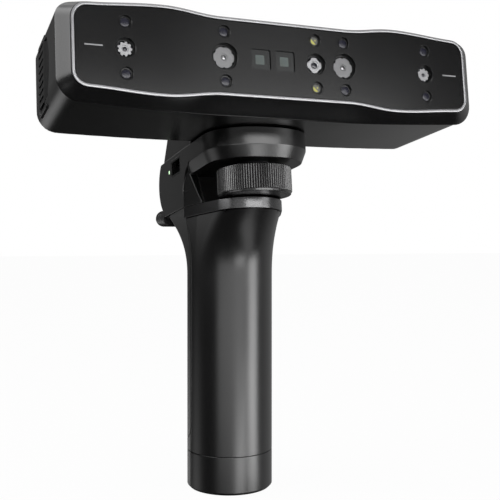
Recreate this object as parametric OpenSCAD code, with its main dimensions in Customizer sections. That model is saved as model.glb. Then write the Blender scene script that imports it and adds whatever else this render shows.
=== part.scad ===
// Handheld three-d scanner: a wide camera head clamped on a battery handle.
// Millimetres. The origin is the middle of the handle's flat base, +Z runs up the grip,
// -Y looks at the scanned scene and +X is to the right when looking along +Y.
// The platform, the clamp wheel and the head share a frame that leans back on the grip.

/* [Grip] */
// Radius of the round grip
grip_r = 20; // [18:0.5:22]
// Wall of the grip shells
grip_wall = 2.2; // [1.8:0.1:2.8]
// How far below the seat the grip starts to flare
flare_start_drop = 61.9; // [59:0.1:64]
// How far below the seat the flare reaches the neck's full size
flare_end_drop = 30.9; // [27:0.1:33]
// How late the flare swells: 1 is straight, more is later
flare_power = 2.3; // [1.8:0.1:2.8]
// Place of the seam between the front and rear grip shells, along Y
side_seam_y = -2.5; // [-4:0.5:0]
// Height at which the rear grip shell starts
rear_shell_z = 23; // [22.8:0.2:30]
// Radius of the rear shell's lower corners
rear_shell_r = 8; // [5:0.5:10]
// Gap left at each seam between two shells
seam_gap = 0.15; // [0.1:0.05:0.3]

/* [Neck] */
// Radius of the neck's round front
neck_front_r = 16.9; // [15.5:0.1:17.5]
// How far the neck's round front lies ahead of the grip's axis
neck_front_y = 18.8; // [17:0.2:20]
// Half width across the neck's flat flanks
flank_x = 23.4; // [22.8:0.2:24.4]
// How far the flat flanks reach ahead of the grip's axis
flank_front_y = 2.2; // [1.5:0.1:2.6]
// Radius between the flank and the round front, and of the shoulders
flank_corner_r = 3; // [2:0.5:4]
// Place of the shoulders between the flanks and the round front, from the middle
shoulder_x = 17.5; // [17:0.1:18]
// How far the shoulders lie ahead of the grip's axis
shoulder_y = 12.3; // [11:0.1:13]
// Radius of the neck's rear corners
rear_corner_r = 4; // [3:0.5:5]
// Place of the neck's rear face at the end of the flare, behind the grip's axis
neck_rear_y = 33; // [31:0.5:34]
// Height of the bright band round the top of the grip
band_h = 5; // [4:0.5:6]

/* [Seat of the head] */
// Lean of the platform and head, back from level
head_tilt = 6.8; // [5:0.2:8]
// Place of the clamp screw's axis at the platform's top, along Y
seat_y = -28.6; // [-30:0.2:-28]
// Height of the platform's top at the clamp screw's axis
seat_z = 160.9; // [160:0.1:164]
// How far the rubber pad stands above the platform
pad_proud = 0.7; // [0.5:0.1:1.2]
// Thickness of the rubber pad
pad_t = 1.8; // [1.4:0.1:2.4]
// Rim left on the platform round the rubber pad
pad_edge = 3; // [2:0.5:4]

/* [Platform] */
// Place of the platform's front edge, ahead of the screw's axis
platform_front = 19.6; // [19:0.2:22]
// Length of the platform's rounded front
platform_nose = 20.4; // [19:0.1:22]
// Squareness of the platform's rounded front: 2 is an ellipse
platform_square = 2.3; // [2:0.1:3]
// Height of the platform's upright edge
platform_edge_h = 7.4; // [6.8:0.1:8]
// Thickness of the platform
platform_t = 12.5; // [12.2:0.1:13]
// How far the slope under the platform's edge runs in
platform_slope = 2.05; // [1.5:0.05:2.5]
// Wall of the top housing
top_wall = 2.4; // [2:0.1:2.8]
// Place of the middle of the rounded rear, behind the screw's axis
rear_round_y = 53.9; // [52:0.1:56]
// Depth of the middle of the rounded rear, under the platform's top
rear_round_z = 11.4; // [10.4:0.2:12]
// Radius of the rounded rear
rear_round_r = 16; // [15:0.5:17]

/* [Notch for the wheel] */
// Depth of the notch's floor under the platform's top
notch_floor = 26.8; // [26.6:0.1:28.4]
// Gap between the wheel and each of the notch's cheeks
cheek_gap = 0.7; // [0.5:0.1:1.5]
// Place of the notch's rear wall, behind the screw's axis
notch_back = 29; // [28:0.5:31]
// Place of the cheeks' front edge at the platform
cheek_top_y = 23.6; // [22.6:0.2:26]
// Place of the cheeks' front edge at the floor
cheek_foot_y = 14.8; // [14.4:0.2:18]
// Radius by which the flank's front edge turns forward under the platform
cove_r = 12.8; // [11:0.2:14]

/* [Clamp wheel and screw] */
// Radius of the clamp wheel over its knurl
wheel_r = 16.4; // [15.5:0.1:16.8]
// Height of the wheel's knurled band
wheel_h = 11; // [10.6:0.1:11.2]
// Gap between the platform and the wheel
wheel_gap = 1.8; // [1.5:0.1:2]
// Height of the plain lip under the knurl
wheel_lip_h = 1; // [0.8:0.1:1.2]
// Number of ridges in the knurl
knurl_count = 72; // [60:2:90]
// Depth of the knurl
knurl_depth = 0.35; // [0.2:0.05:0.5]
// Radius of the clamp screw, over its thread
screw_r = 3.1; // [3:0.05:3.15]
// Radius of the threaded bushes, a quarter-inch camera thread
thread_r = 3.175; // [3.17:0.005:3.2]
// Length of the screw in the head's bush when it is tight
screw_bite = 5.2; // [5.1:0.1:6]
// Running clearance of a turning fit, on the radius
run_gap = 0.05; // [0.03:0.01:0.08]
// Outer radius of the sleeve that the wheel turns on
sleeve_r = 5.5; // [5.2:0.1:6]
// Thickness of the wheel's upper web
web_t = 2.5; // [2:0.1:2.6]
// Across the flats of the screw's head
screw_head_af = 9.5; // [9:0.1:10]
// Thickness of the screw's head
screw_head_t = 2.2; // [2:0.1:2.3]

/* [Head] */
// Width of the head
head_w = 181.2; // [178:0.2:186]
// Height of the head's top above the row of cameras
head_top = 17.2; // [16.6:0.1:18]
// Depth of the head's bottom under the row of cameras
head_low = 22.4; // [21.8:0.1:23]
// How much higher the housing's floor lies than the cover's rear edge
floor_step = 1.5; // [1:0.1:1.8]
// Depth of the head, from the front panel to its back
head_d = 57; // [55:0.5:57.5]
// Place of the screw's axis behind the front panel
head_reach = 39.5; // [39:0.5:40]
// Wall of the head's housing
head_wall = 2.4; // [2:0.1:2.6]
// Radius of the housing's upper end corners
head_top_r = 6; // [5:0.5:8]
// Radius of the housing's lower end corners
head_low_r = 9; // [7:0.5:9]
// Radius along the back's top and bottom edges
head_back_r = 3; // [2.8:0.1:5]
// How much the bottom rises towards the ends
head_rise_ends = 2.1; // [1.6:0.1:2.6]
// Depth of the sloped front cover
cover_d = 5.4; // [5:0.1:6]

/* [Front panel] */
// Width of the dark front panel
panel_w = 168.6; // [166:0.2:172]
// Half height of the panel at its waist
panel_waist = 14.5; // [14:0.1:14.8]
// How much higher the panel is at its two swells
panel_swell = 2.1; // [1.6:0.1:2.4]
// How much it falls from the swells to its ends
panel_fall = 1.9; // [1.5:0.1:2.2]
// Place of the swells, from the middle
swell_x = 50; // [46:1:54]
// Place where the waist ends, from the middle
waist_x = 27; // [24:1:30]
// Radius of the panel's corners
panel_corner_r = 5; // [4:0.5:7]
// Thickness of the panel
panel_t = 2; // [1.6:0.1:2.2]
// Width of the bright rim round the panel
rim_w = 1.25; // [1:0.05:1.5]
// How far the rim stands out of the panel
rim_proud = 0.3; // [0.1:0.05:0.5]

/* [Cameras and lights] */
// Place of the two outer cameras, from the middle
outer_camera_x = 65.4; // [62:0.2:68]
// Place of the two inner cameras, from the middle
inner_camera_x = 26.2; // [25.6:0.1:28]
// Place of the colour camera, from the middle
colour_camera_x = 13.1; // [12.6:0.1:13.4]
// Height of the lights above and below the row of cameras
light_z = 9.9; // [9.6:0.1:10.2]
// Radius of the outer cameras' windows
outer_window_r = 3.85; // [3.6:0.05:4.1]
// Radius of the inner cameras' windows
inner_window_r = 5.4; // [5.2:0.05:5.6]
// Radius of the colour camera's window
colour_window_r = 4.4; // [4.2:0.05:4.6]
// Radius of the windows of the small lights
light_window_r = 2.6; // [2.4:0.05:2.8]
// Radius of the outer cameras' toothed rings
outer_ring_r = 2.9; // [2.7:0.05:3.1]
// Radius of the inner cameras' toothed rings
inner_ring_r = 4.4; // [4.2:0.05:4.5]
// Radius of the colour camera's ring
colour_ring_r = 3.3; // [3.1:0.05:3.5]
// Radius of the small lamps
lamp_r = 1.6; // [1.4:0.05:1.8]
// Place of the left projector, from the middle
projector_left_x = -11.1; // [-11.4:0.1:-11]
// Place of the right projector, from the middle
projector_right_x = -0.6; // [-0.7:0.1:-0.4]
// Side of the projectors' square windows
projector_window = 8.2; // [7.8:0.1:8.4]
// Side of the projectors' bodies
projector_body = 9.2; // [9:0.1:9.4]
// Place of the inner end of the level marks, in from the panel's end
mark_x = 10.3; // [9.3:0.1:11.8]
// Length of the level marks
mark_l = 6.8; // [5:0.2:7.5]

/* [Vents and fan] */
// Place of the foremost point of the vents' scoop, behind the panel
scoop_front = 20; // [19:0.2:21]
// Place of the scoop's straight rear edge, behind the panel
scoop_back = 33.2; // [32.8:0.2:34]
// Height of the scoop
scoop_h = 23.6; // [22:0.2:25]
// Radius of the scoop's round front edge
scoop_r = 14.6; // [13.6:0.2:16]
// Depth of the scoop at its foremost point
scoop_depth = 3.4; // [2.6:0.1:3.6]
// Place of the vents' rear edge, behind the panel
vent_back = 49; // [48.4:0.2:50]
// Height of the vents' plates
vent_h = 27.4; // [26.6:0.2:28]
// Number of slots in each vent
slot_count = 9; // [7:1:9]
// Height of each slot
slot_h = 1.4; // [1:0.1:1.6]
// Height from one slot to the next
slot_pitch = 3; // [2.6:0.05:3]
// Place of the slots' front ends, behind the panel
slot_front = 35.3; // [35:0.1:36]
// Length of the slots
slot_l = 12.1; // [11:0.1:12.6]
// Size of the square fan
fan_size = 31; // [29:0.5:31]
// Thickness of the fan
fan_t = 8; // [7:0.5:9]
// Number of blades on the fan
fan_blades = 7; // [5:1:9]

/* [Base] */
// Height of the base cap
base_h = 17.4; // [16:0.2:19]
// Thickness of the base cap's floor
base_floor = 4; // [3:0.5:5]
// Chamfer round the foot of the base cap
base_chamfer = 1.2; // [0.6:0.1:1.8]
// Outer radius of the base's threaded bush
bush_r = 6.5; // [6:0.1:7]
// Length of the base's threaded bush
bush_h = 10; // [8:0.5:11]

/* [Battery] */
// Radius of the battery cell
cell_r = 9.1; // [9:0.05:9.3]
// Length of the battery cell
cell_h = 65; // [60:0.5:65.5]

/* [Charging port] */
// Place of the port's middle, behind the screw's axis
port_y = 40.3; // [39:0.2:42]
// Depth of the port's middle, under the platform's top
port_z = 5.8; // [5.6:0.1:6.2]
// Length of the port's recess
port_l = 13; // [12:0.2:14]
// Height of the port's recess
port_h = 6.2; // [5.6:0.1:6.4]
// Depth of the port's recess
port_depth = 4.4; // [4.2:0.1:4.8]
// Place of the status light, behind the screw's axis
status_y = 51.2; // [50:0.2:53]

/* [Rear block] */
// Place of the block's front face, behind the screw's axis
block_front = 18.2; // [18:0.2:20]
// Place of the block's rear face at the platform, behind the screw's axis
block_back = 61.7; // [60:0.1:62]
// Height of the block over the platform
block_h = 28.6; // [24:0.2:34]
// Set-in of the block's sides from the flanks
block_inset = 0.4; // [0.2:0.1:0.8]
// Lean of the block's rear face
block_lean = 36; // [30:1:38]

/* [Thumb lever] */
// How far below the seat the lever's pin lies
lever_drop = 33.9; // [33.5:0.1:34.3]
// Radius of the lever's pin
lever_pin_r = 1.5; // [1.2:0.1:1.6]
// Place of the lever's rear end
lever_end_y = 49; // [46:0.5:51]
// Thickness of the lever's bar
lever_t = 8.2; // [7.6:0.1:8.4]
// Half width of the lever's bar
lever_x = 22.9; // [21.5:0.1:23.4]
// Depth of the two grooves round the lever's bar
lever_groove = 0.4; // [0.2:0.1:0.6]

/* [Hidden] */
$fn = 64;
far = 200;

// Small allowances
fit = 0.1;
eps = 0.01;

// Clamp stack, as depths under the platform's top
wheel_top = platform_t + wheel_gap;
wheel_foot = wheel_top + wheel_h;
lip_foot = wheel_foot + wheel_lip_h;
wheel_wall = 2.8;
wheel_bore_r = wheel_r - wheel_wall;
lip_r = wheel_r - 0.5;
web_foot = wheel_top + web_t;
cheek_x = wheel_r + cheek_gap;
clip_t = 0.7;
clip_r = sleeve_r + 2.1;
clip_top = web_foot + fit;
sleeve_foot = clip_top + clip_t + 0.4;
sleeve_collar_t = 2;
sleeve_collar_r = sleeve_r + 1.5;
pocket_top = sleeve_foot + 0.3;
cap_plate_t = 2;
cap_hub_r = 8.5;
hex_per_af = 1 / sqrt(3);
cap_floor = 0.7;

// Head
head_foot = pad_proud;
head_floor = head_low - floor_step;
head_lift = head_floor + head_foot;
body_x = head_w / 2;
flat_floor_x = 30;
floor_rise = 0.6;
head_end_r = 1;
cover_land = 0.5;
cover_front = 0.4;
ledge_t = 1.6;
ledge_in = 2.2;
lip_len = 2.6;
lip_t = 1.4;
frame_front = panel_t + 2;
frame_t = 2.5;
frame_back = frame_front + frame_t;
frame_end_gap = 10.6;
frame_rim_gap = 4.3;
frame_x = min(body_x - frame_end_gap, panel_w / 2 - frame_rim_gap);
frame_z = 11.8;
led_board_t = 0.8;
led_board_x = 11;
flash_board_x = 8.6;
led_board_z = 11.6;
lamp_front = 1.3;
barrel_front = 1.8;
barrel_back = frame_back + 3.5;
camera_board = 12;
camera_board_t = 1.2;
pupil_outer_r = 0.9;
pupil_inner_r = 1.3;
pupil_colour_r = 1.5;
lens_l = 3;
window_t = 0.8;
projector_l = 16;
pillar_x = 48;
pillar_z = 9.5;
pillar_r = 2.2;
post_x = [45, 56];
post_z = 9;
post_r = 2;
board_front = 22;
board_t = 1.6;
board_w = 110;
board_low = -15;
board_high = 13;
board_back = board_front + board_t;
sink_w = 44;
sink_h = 24;
sink_base_t = 3;
sink_d = 14;
fin_count = 9;
fin_t = 1.6;
fan_end_gap = 20.6;
fan_x = body_x - fan_end_gap;
fan_y = 29;
fan_z = head_top - head_wall - fan_size / 2;
fan_bore_r = fan_size / 2 - 1.8;
rotor_hub_r = 5.5;
fan_shaft_r = 0.8;
spider_t = 1.4;
spider_w = 2;
head_bush_r = 6;
head_bush_h = 8;
boss_wall = 3;
grille_t = 1.2;

// Top housing
tail_angle = 50;
tail_y = rear_round_y + rear_round_r * cos(tail_angle);
tail_z = rear_round_z + rear_round_r * sin(tail_angle);
tail_in = 2.4;
plan_depth = 25.7;
neck_shift = (plan_depth * sin(head_tilt) - seat_y) / cos(head_tilt);
cove_edge = neck_shift - flank_front_y - 0.4;
board_floor = platform_t - 1.5;
board_roof = 1.8;
column_front = notch_back + top_wall;
cavity_x = flank_x - top_wall;
usb_w = 9;
usb_h = 3.2;
usb_l = 7.5;
port_x = flank_x - port_depth;
charge_top = port_z + usb_h / 2;
charge_t = 1.4;
status_r = 0.9;
status_z = charge_top - status_r - fit;
bezel_t = 0.8;

// Grip
flare_start = seat_z - flare_start_drop;
flare_end = seat_z - flare_end_drop;
cap_spigot_h = 4.8;
spigot_r = grip_r - grip_wall - fit;
spigot_t = 1.6;
cradle_r = spigot_r - fit;
cradle_foot = base_h + cap_spigot_h;
cradle_disc_t = 3;
contact_low_t = 0.8;
contact_high_t = 1.8;
cell_foot = cradle_foot + cradle_disc_t + contact_low_t;
cell_top = cell_foot + cell_h;
cradle_head = cell_top + contact_high_t;
rail_w = 8;
rail_t = 3;
rail_y = cell_r + fit;
contact_size = 14;
bush_wall = 3;
base_screw_x = 12.8;
base_screw_r = 1.3;
base_screw_head_r = 2.4;
base_screw_head_t = 1.6;
base_boss_r = 3.2;

// Thumb lever
function wall_back(z) = mix(grip_r, neck_rear_y, flare(z)) - grip_wall;
lever_pin_z = seat_z - lever_drop;
pin_wall = 1.2;
bracket_low = lever_pin_z - lever_pin_r - pin_wall;
bracket_back = wall_back(bracket_low) - 0.4;
lever_pin_y = bracket_back - pin_wall - lever_pin_r;
tongue_x = 9;
tongue_t = 5;
tongue_arm = 5;
tongue_front = lever_pin_y - tongue_arm;
bar_front = neck_rear_y + 1.4;
bar_low = lever_pin_z - lever_t / 2 - 0.3;
bar_edge_r = 2;
groove_w = 0.8;
groove_y = [bar_front + 4.4, bar_front + 8];
lever_slot_gap = 0.8;
bracket_t = 2;
bracket_x = tongue_x + 0.4;
bracket_front = tongue_front - 2.5;
stop_back = tongue_front + 2;
stop_high = lever_pin_z - tongue_t / 2 - fit;
stop_t = 2;
switch_gap = 0.35;
switch_h = 4;
switch_l = 6;
switch_w = 6;
switch_x = -7;
switch_low = lever_pin_z + tongue_t / 2 + switch_gap;
bridge_low = switch_low + switch_h;
bridge_t = 2;
spring_r = 1.5;
spring_bore_r = 1;
spring_x = 4;
spring_y = tongue_front + spring_r + 0.2;

// Frames
// The seat frame stands on the platform's top at the clamp screw's axis.
module at_seat() {
    translate([0, seat_y, seat_z])
        rotate([-head_tilt, 0, 0])
            children();
}

// The head frame stands in the middle of the front panel's face.
module at_head() {
    at_seat()
        translate([0, -head_reach, head_lift])
            children();
}

// Extrudes an outline drawn in X and Z from one depth to another, away from the viewer.
module along_y(y0, y1) {
    translate([0, y1, 0])
        rotate([90, 0, 0])
            linear_extrude(y1 - y0)
                children();
}

// Extrudes an outline drawn in Y and Z between two places along X.
module along_x(x0, x1) {
    translate([x0, 0, 0])
        rotate([90, 0, 90])
            linear_extrude(x1 - x0)
                children();
}

// Outline helpers
function mix(a, b, t) = a + (b - a) * t;
function ease(t) = (1 - cos(180 * min(1, max(0, t)))) / 2;

// Half height of the front panel at a place along its width.
function panel_half(x) =
    let (u = abs(x))
    panel_waist + panel_swell * ease((u - waist_x) / (swell_x - waist_x))
        - panel_fall * ease((u - swell_x) / (panel_w / 2 - swell_x));

// Depth of the cover's bottom and of the housing's floor at a place along the head's width.
function end_rise(x) =
    let (t = max(0, abs(x) - flat_floor_x) / (body_x - head_low_r - flat_floor_x))
    head_rise_ends * pow(min(1, t), 1.5);
function cover_low(x) = head_low - end_rise(x);
function body_low(x) = head_floor - floor_rise * end_rise(x);

function arc(cx, cz, r, a0, a1, n) =
    [for (i = [0:n]) let (a = mix(a0, a1, i / n)) [cx + r * cos(a), cz + r * sin(a)]];
function edge(x0, x1, n, f) = [for (i = [1:n - 1]) let (x = mix(x0, x1, i / n)) [x, f(x)]];

// A closed outline of round corners joined by an upper and a lower edge that follow functions.
function outline(hx, rt, rl, up, low) =
    let (xt = hx - rt, xl = hx - rl, zt = up(xt) - rt, zl = low(xl) + rl)
    concat(
        arc(xt, zt, rt, 0, 90, 6),
        edge(xt, -xt, 40, up),
        arc(-xt, zt, rt, 90, 180, 6),
        arc(-xl, zl, rl, 180, 270, 6),
        edge(-xl, xl, 40, low),
        arc(xl, zl, rl, 270, 360, 6)
    );

function panel_outline(grow) =
    let (half = function (x) panel_half(x) + grow, drop = function (x) -panel_half(x) - grow)
    outline(panel_w / 2 + grow, panel_corner_r + grow, panel_corner_r + grow, half, drop);

function head_outline(grow, depth) =
    let (up = function (x) head_top + grow, low = function (x) -depth(x) - grow)
    outline(body_x + grow, head_top_r + grow, head_low_r + grow, up, low);
function cover_outline(grow) = head_outline(grow, function (x) cover_low(x));
function body_outline(grow) = head_outline(grow, function (x) body_low(x));

// A closed skin through rings that all have the same number of points. Each end is closed round its middle.
function middle(ring) = (ring[0] + ring[floor(len(ring) / 2)]) / 2;
module skin(rings) {
    n = len(rings[0]);
    last = len(rings) - 1;
    foot = n * len(rings);
    sides = [for (k = [0:last - 1], i = [0:n - 1])
        let (j = (i + 1) % n)
        [k * n + i, (k + 1) * n + i, (k + 1) * n + j, k * n + j]];
    ends = [for (i = [0:n - 1])
        let (j = (i + 1) % n)
        each [[foot, i, j], [foot + 1, last * n + j, last * n + i]]];
    points = concat([for (ring = rings) each ring], [middle(rings[0]), middle(rings[last])]);
    polyhedron(points = points, faces = concat(sides, ends), convexity = 6);
}

function at_depth(points, y) = [for (p = points) [p[0], y, p[1]]];

// The neck's plan is the hull of seven circles, which all become the grip's circle below the flare.
function flare_run(z) = (z - flare_start) / (flare_end - flare_start);
function flare(z) = z <= flare_start ? 0 : min(1, pow(flare_run(z), flare_power));
function plan_circles(t) =
    let (
        front_r = mix(grip_r, neck_front_r, t),
        side_r = mix(grip_r, flank_corner_r, t),
        rear_r = mix(grip_r, rear_corner_r, t),
        side_x = mix(grip_r, flank_x, t),
        rear_y = mix(grip_r, neck_rear_y, t) - rear_r
    )
    [
        [0, -neck_front_y * t, front_r],
        [shoulder_x * t, -shoulder_y * t, side_r],
        [-shoulder_x * t, -shoulder_y * t, side_r],
        [side_x - side_r, -flank_front_y * t, side_r],
        [side_r - side_x, -flank_front_y * t, side_r],
        [side_x - rear_r, rear_y, rear_r],
        [rear_r - side_x, rear_y, rear_r]
    ];
function reach(c, a) = c[0] * cos(a) + c[1] * sin(a) + c[2];
function farthest(circles, a) =
    let (best = max([for (c = circles) reach(c, a)]))
    [for (c = circles) if (reach(c, a) > best - 1e-6) c][0];
function plan_point(circles, a, inset) =
    let (c = farthest(circles, a))
    [c[0] + (c[2] - inset) * cos(a), c[1] + (c[2] - inset) * sin(a)];
plan_steps = 60;
function plan(t, inset) =
    let (circles = plan_circles(t))
    [for (i = [0:plan_steps - 1]) plan_point(circles, (i + 0.5) * 360 / plan_steps, inset)];
function plan_ring(z, inset) = [for (p = plan(flare(z), inset)) [p[0], p[1], z]];

// Heights of the grip's rings: its straight run and eight steps of flare
function grip_levels(low, high) = concat([low], [for (i = [0:8]) mix(flare_start, flare_end, i / 8)], [high]);

// Head: casing
module front_panel() {
    color([0.16, 0.16, 0.165])
        at_head()
            difference() {
                along_y(0, panel_t)
                    polygon(panel_outline(-fit));
                windows(outer_camera_x, outer_window_r);
                windows(inner_camera_x, inner_window_r);
                window(colour_camera_x, 0, colour_window_r);
                for (x = [-outer_camera_x, -inner_camera_x, inner_camera_x, outer_camera_x, colour_camera_x])
                    for (side = [-1, 1])
                        window(x, side * light_z, light_window_r);
                for (x = [projector_left_x, projector_right_x])
                    translate([x - projector_window / 2, -1, -projector_window / 2])
                        cube([projector_window, panel_t + 2, projector_window]);
                marks(fit / 2);
            }
}

module window(x, z, r) {
    translate([x, -1, z])
        rotate([-90, 0, 0])
            cylinder(h = panel_t + 2, r = r);
}

module windows(x, r) {
    window(-x, 0, r);
    window(x, 0, r);
}

mark_h = 0.55;
mark_t = 0.4;
module marks(grow) {
    for (side = [-1, 1])
        translate([side * (panel_w / 2 - mark_x + mark_l / 2) - mark_l / 2 - grow, -grow, -mark_h / 2 - grow])
            cube([mark_l + 2 * grow, mark_t + grow, mark_h + 2 * grow]);
}

module level_marks() {
    color([0.85, 0.85, 0.86])
        at_head()
            marks(0);
}

module front_rim() {
    color([0.8, 0.8, 0.82])
        at_head()
            difference() {
                along_y(-rim_proud, panel_t)
                    polygon(panel_outline(rim_w));
                along_y(-rim_proud - 1, panel_t + 1)
                    polygon(panel_outline(0));
            }
}

module front_cover() {
    color([0.2, 0.2, 0.21])
        at_head()
            difference() {
                union() {
                    skin([
                        at_depth(cover_outline(0), cover_d),
                        at_depth(panel_outline(rim_w + cover_land), cover_front)
                    ]);
                    along_y(cover_d - eps, cover_d + lip_len)
                        polygon(body_outline(-head_wall - fit));
                }
                along_y(-1, panel_t)
                    polygon(panel_outline(rim_w + fit / 2));
                along_y(-1, panel_t + ledge_t + 1)
                    polygon(panel_outline(-ledge_in));
                along_y(panel_t + ledge_t, cover_d + lip_len + 1)
                    polygon(body_outline(-head_wall - fit - lip_t));
            }
}

// The housing's block: its front outline, rounded at the back in side view and in plan.
module body_block(y0, grow) {
    back = head_d + grow;
    r = head_back_r + grow;
    low = head_floor + grow;
    intersection() {
        along_y(y0, back)
            polygon(body_outline(grow));
        along_x(-far, far)
            union() {
                translate([y0, -low])
                    square([back - r - y0, low + head_top + grow]);
                translate([y0, r - low])
                    square([back - y0, low + head_top + grow - 2 * r]);
                translate([back - r, r - low])
                    circle(r);
                translate([back - r, head_top + grow - r])
                    circle(r);
            }
        translate([0, 0, -far / 2])
            linear_extrude(far)
                union() {
                    translate([-body_x - grow, y0])
                        square([2 * (body_x + grow), back - head_end_r - y0]);
                    translate([head_end_r - body_x - grow, y0])
                        square([2 * (body_x + grow - head_end_r), back - y0]);
                    for (side = [-1, 1])
                        translate([side * (body_x + grow - head_end_r), back - head_end_r])
                            circle(head_end_r);
                }
    }
}

vent_mid_z = -0.7;

// A vent's outline in the end face: the scoop with its round front, and the plate behind it.
module vent_outline(grow) {
    intersection() {
        translate([scoop_front + scoop_r, vent_mid_z])
            circle(scoop_r + grow);
        translate([0, vent_mid_z - scoop_h / 2 - grow])
            square([scoop_back + 1, scoop_h + 2 * grow]);
    }
    translate([scoop_back - grow, vent_mid_z - vent_h / 2 - grow])
        square([vent_back - scoop_back + 2 * grow, vent_h + 2 * grow]);
}

// The space between a vent's face and a like face that lies deeper: the face slopes out of the scoop.
module vent_layer(side, high, deep) {
    far_y = vent_back + 2;
    translate([0, 0, -far / 2])
        linear_extrude(far)
            polygon([
                [side * (body_x + high - scoop_depth), scoop_front - 1],
                [side * (body_x + high), scoop_back],
                [side * (body_x + high), far_y],
                [side * (body_x - deep), far_y],
                [side * (body_x - deep), scoop_back],
                [side * (body_x - deep - scoop_depth), scoop_front - 1]
            ]);
}

module rear_housing() {
    color([0.19, 0.19, 0.2])
        at_head()
            difference() {
                union() {
                    difference() {
                        body_block(cover_d, 0);
                        translate([0, -1, 0])
                            body_block(cover_d, -head_wall);
                        body_block_mouth();
                    }
                    for (side = [-1, 1])
                        vent_frame(side);
                    translate([0, head_reach, -head_floor])
                        cylinder(h = head_bush_h, r = head_bush_r + boss_wall);
                }
                for (side = [-1, 1])
                    vent_hole(side);
                translate([0, head_reach, -head_floor - 1])
                    cylinder(h = head_bush_h + 2, r = head_bush_r);
            }
}

// Opens the housing's front fully.
module body_block_mouth() {
    along_y(cover_d - 1, cover_d + 1)
        polygon(body_outline(-head_wall));
}

vent_rim = 1.2;
module vent_frame(side) {
    intersection() {
        along_x(-far / 2, far / 2)
            vent_outline(vent_rim);
        vent_layer(side, scoop_depth + 1, grille_t + vent_rim);
        body_block(cover_d, 0);
    }
}

module vent_hole(side) {
    intersection() {
        along_x(-far / 2, far / 2)
            vent_outline(fit / 2);
        vent_layer(side, scoop_depth + 1, grille_t + fit / 2);
    }
    intersection() {
        along_x(side > 0 ? 0 : -far / 2, side > 0 ? far / 2 : 0)
            vent_outline(-vent_rim);
        vent_layer(side, 0, far / 20);
        translate([-far / 2, slot_front - vent_rim, -far / 2])
            cube([far, far, far]);
    }
}

module vent_grille(side) {
    slot_z = vent_mid_z - (slot_count - 1) * slot_pitch / 2 - slot_h / 2;
    color([0.14, 0.14, 0.145])
        at_head()
            difference() {
                intersection() {
                    along_x(-far / 2, far / 2)
                        vent_outline(-fit / 2);
                    vent_layer(side, 0, grille_t);
                    body_block(cover_d, 0);
                }
                for (i = [0:slot_count - 1])
                    translate([side * body_x - 5, slot_front, slot_z + i * slot_pitch])
                        cube([10, slot_l, slot_h]);
            }
}

module vent_grille_left() {
    vent_grille(-1);
}

module vent_grille_right() {
    vent_grille(1);
}

// Head: optics
module optics_frame() {
    color([0.62, 0.63, 0.65])
        at_head()
            difference() {
                union() {
                    translate([-frame_x, frame_front, -frame_z])
                        cube([2 * frame_x, frame_t, 2 * frame_z]);
                    for (x = post_x, sx = [-1, 1], sz = [-1, 1])
                        translate([sx * x, panel_t, sz * post_z])
                            rotate([-90, 0, 0])
                                cylinder(h = frame_front - panel_t + eps, r = post_r);
                    for (sx = [-1, 1], sz = [-1, 1])
                        translate([sx * pillar_x, frame_back - eps, sz * pillar_z])
                            rotate([-90, 0, 0])
                                cylinder(h = board_front - frame_back + eps, r = pillar_r);
                }
                barrel_hole(-outer_camera_x, outer_ring_r);
                barrel_hole(outer_camera_x, outer_ring_r);
                barrel_hole(-inner_camera_x, inner_ring_r);
                barrel_hole(inner_camera_x, inner_ring_r);
                barrel_hole(colour_camera_x, colour_ring_r);
                for (x = [projector_left_x, projector_right_x])
                    translate([x - projector_body / 2 - fit, frame_front - 1, -projector_body / 2 - fit])
                        cube([projector_body + 2 * fit, frame_t + 2, projector_body + 2 * fit]);
                board_screw_shafts(0);
            }
}

module barrel_hole(x, r) {
    translate([x, frame_front - 3, 0])
        rotate([-90, 0, 0])
            cylinder(h = frame_t + 6, r = r + fit);
}

tooth_count = 8;
tooth_w = 0.9;
tooth_d = 0.5;
tooth_l = 1.2;

// A lens barrel: a toothed ring at the front and a small round pupil.
module camera(x, ring_r, pupil_r) {
    color([0.78, 0.78, 0.8])
        at_head()
            translate([x, barrel_front, 0])
                rotate([-90, 0, 0])
                    difference() {
                        cylinder(h = barrel_back - barrel_front, r = ring_r);
                        translate([0, 0, -1])
                            cylinder(h = barrel_back, r = pupil_r);
                        for (i = [0:tooth_count - 1])
                            rotate([0, 0, (i + 0.5) * 360 / tooth_count])
                                translate([ring_r - tooth_d, -tooth_w / 2, -1])
                                    cube([tooth_d + 1, tooth_w, tooth_l + 1]);
                    }
}

// The front lens: a short glass rod with a domed face, held in the pupil.
module lens(x, pupil_r) {
    color([0.1, 0.11, 0.14])
        at_head()
            translate([x, barrel_front, 0])
                rotate([-90, 0, 0])
                    intersection() {
                        translate([0, 0, 0.2])
                            cylinder(h = lens_l, r = pupil_r - 0.02);
                        translate([0, 0, 0.2 + 2 * pupil_r])
                            sphere(2 * pupil_r);
                    }
}

module outer_camera_left() {
    camera(-outer_camera_x, outer_ring_r, pupil_outer_r);
}

module outer_camera_right() {
    camera(outer_camera_x, outer_ring_r, pupil_outer_r);
}

module inner_camera_left() {
    camera(-inner_camera_x, inner_ring_r, pupil_inner_r);
}

module inner_camera_right() {
    camera(inner_camera_x, inner_ring_r, pupil_inner_r);
}

module colour_camera() {
    camera(colour_camera_x, colour_ring_r, pupil_colour_r);
}

module outer_lens_left() {
    lens(-outer_camera_x, pupil_outer_r);
}

module outer_lens_right() {
    lens(outer_camera_x, pupil_outer_r);
}

module inner_lens_left() {
    lens(-inner_camera_x, pupil_inner_r);
}

module inner_lens_right() {
    lens(inner_camera_x, pupil_inner_r);
}

module colour_lens() {
    lens(colour_camera_x, pupil_colour_r);
}

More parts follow.
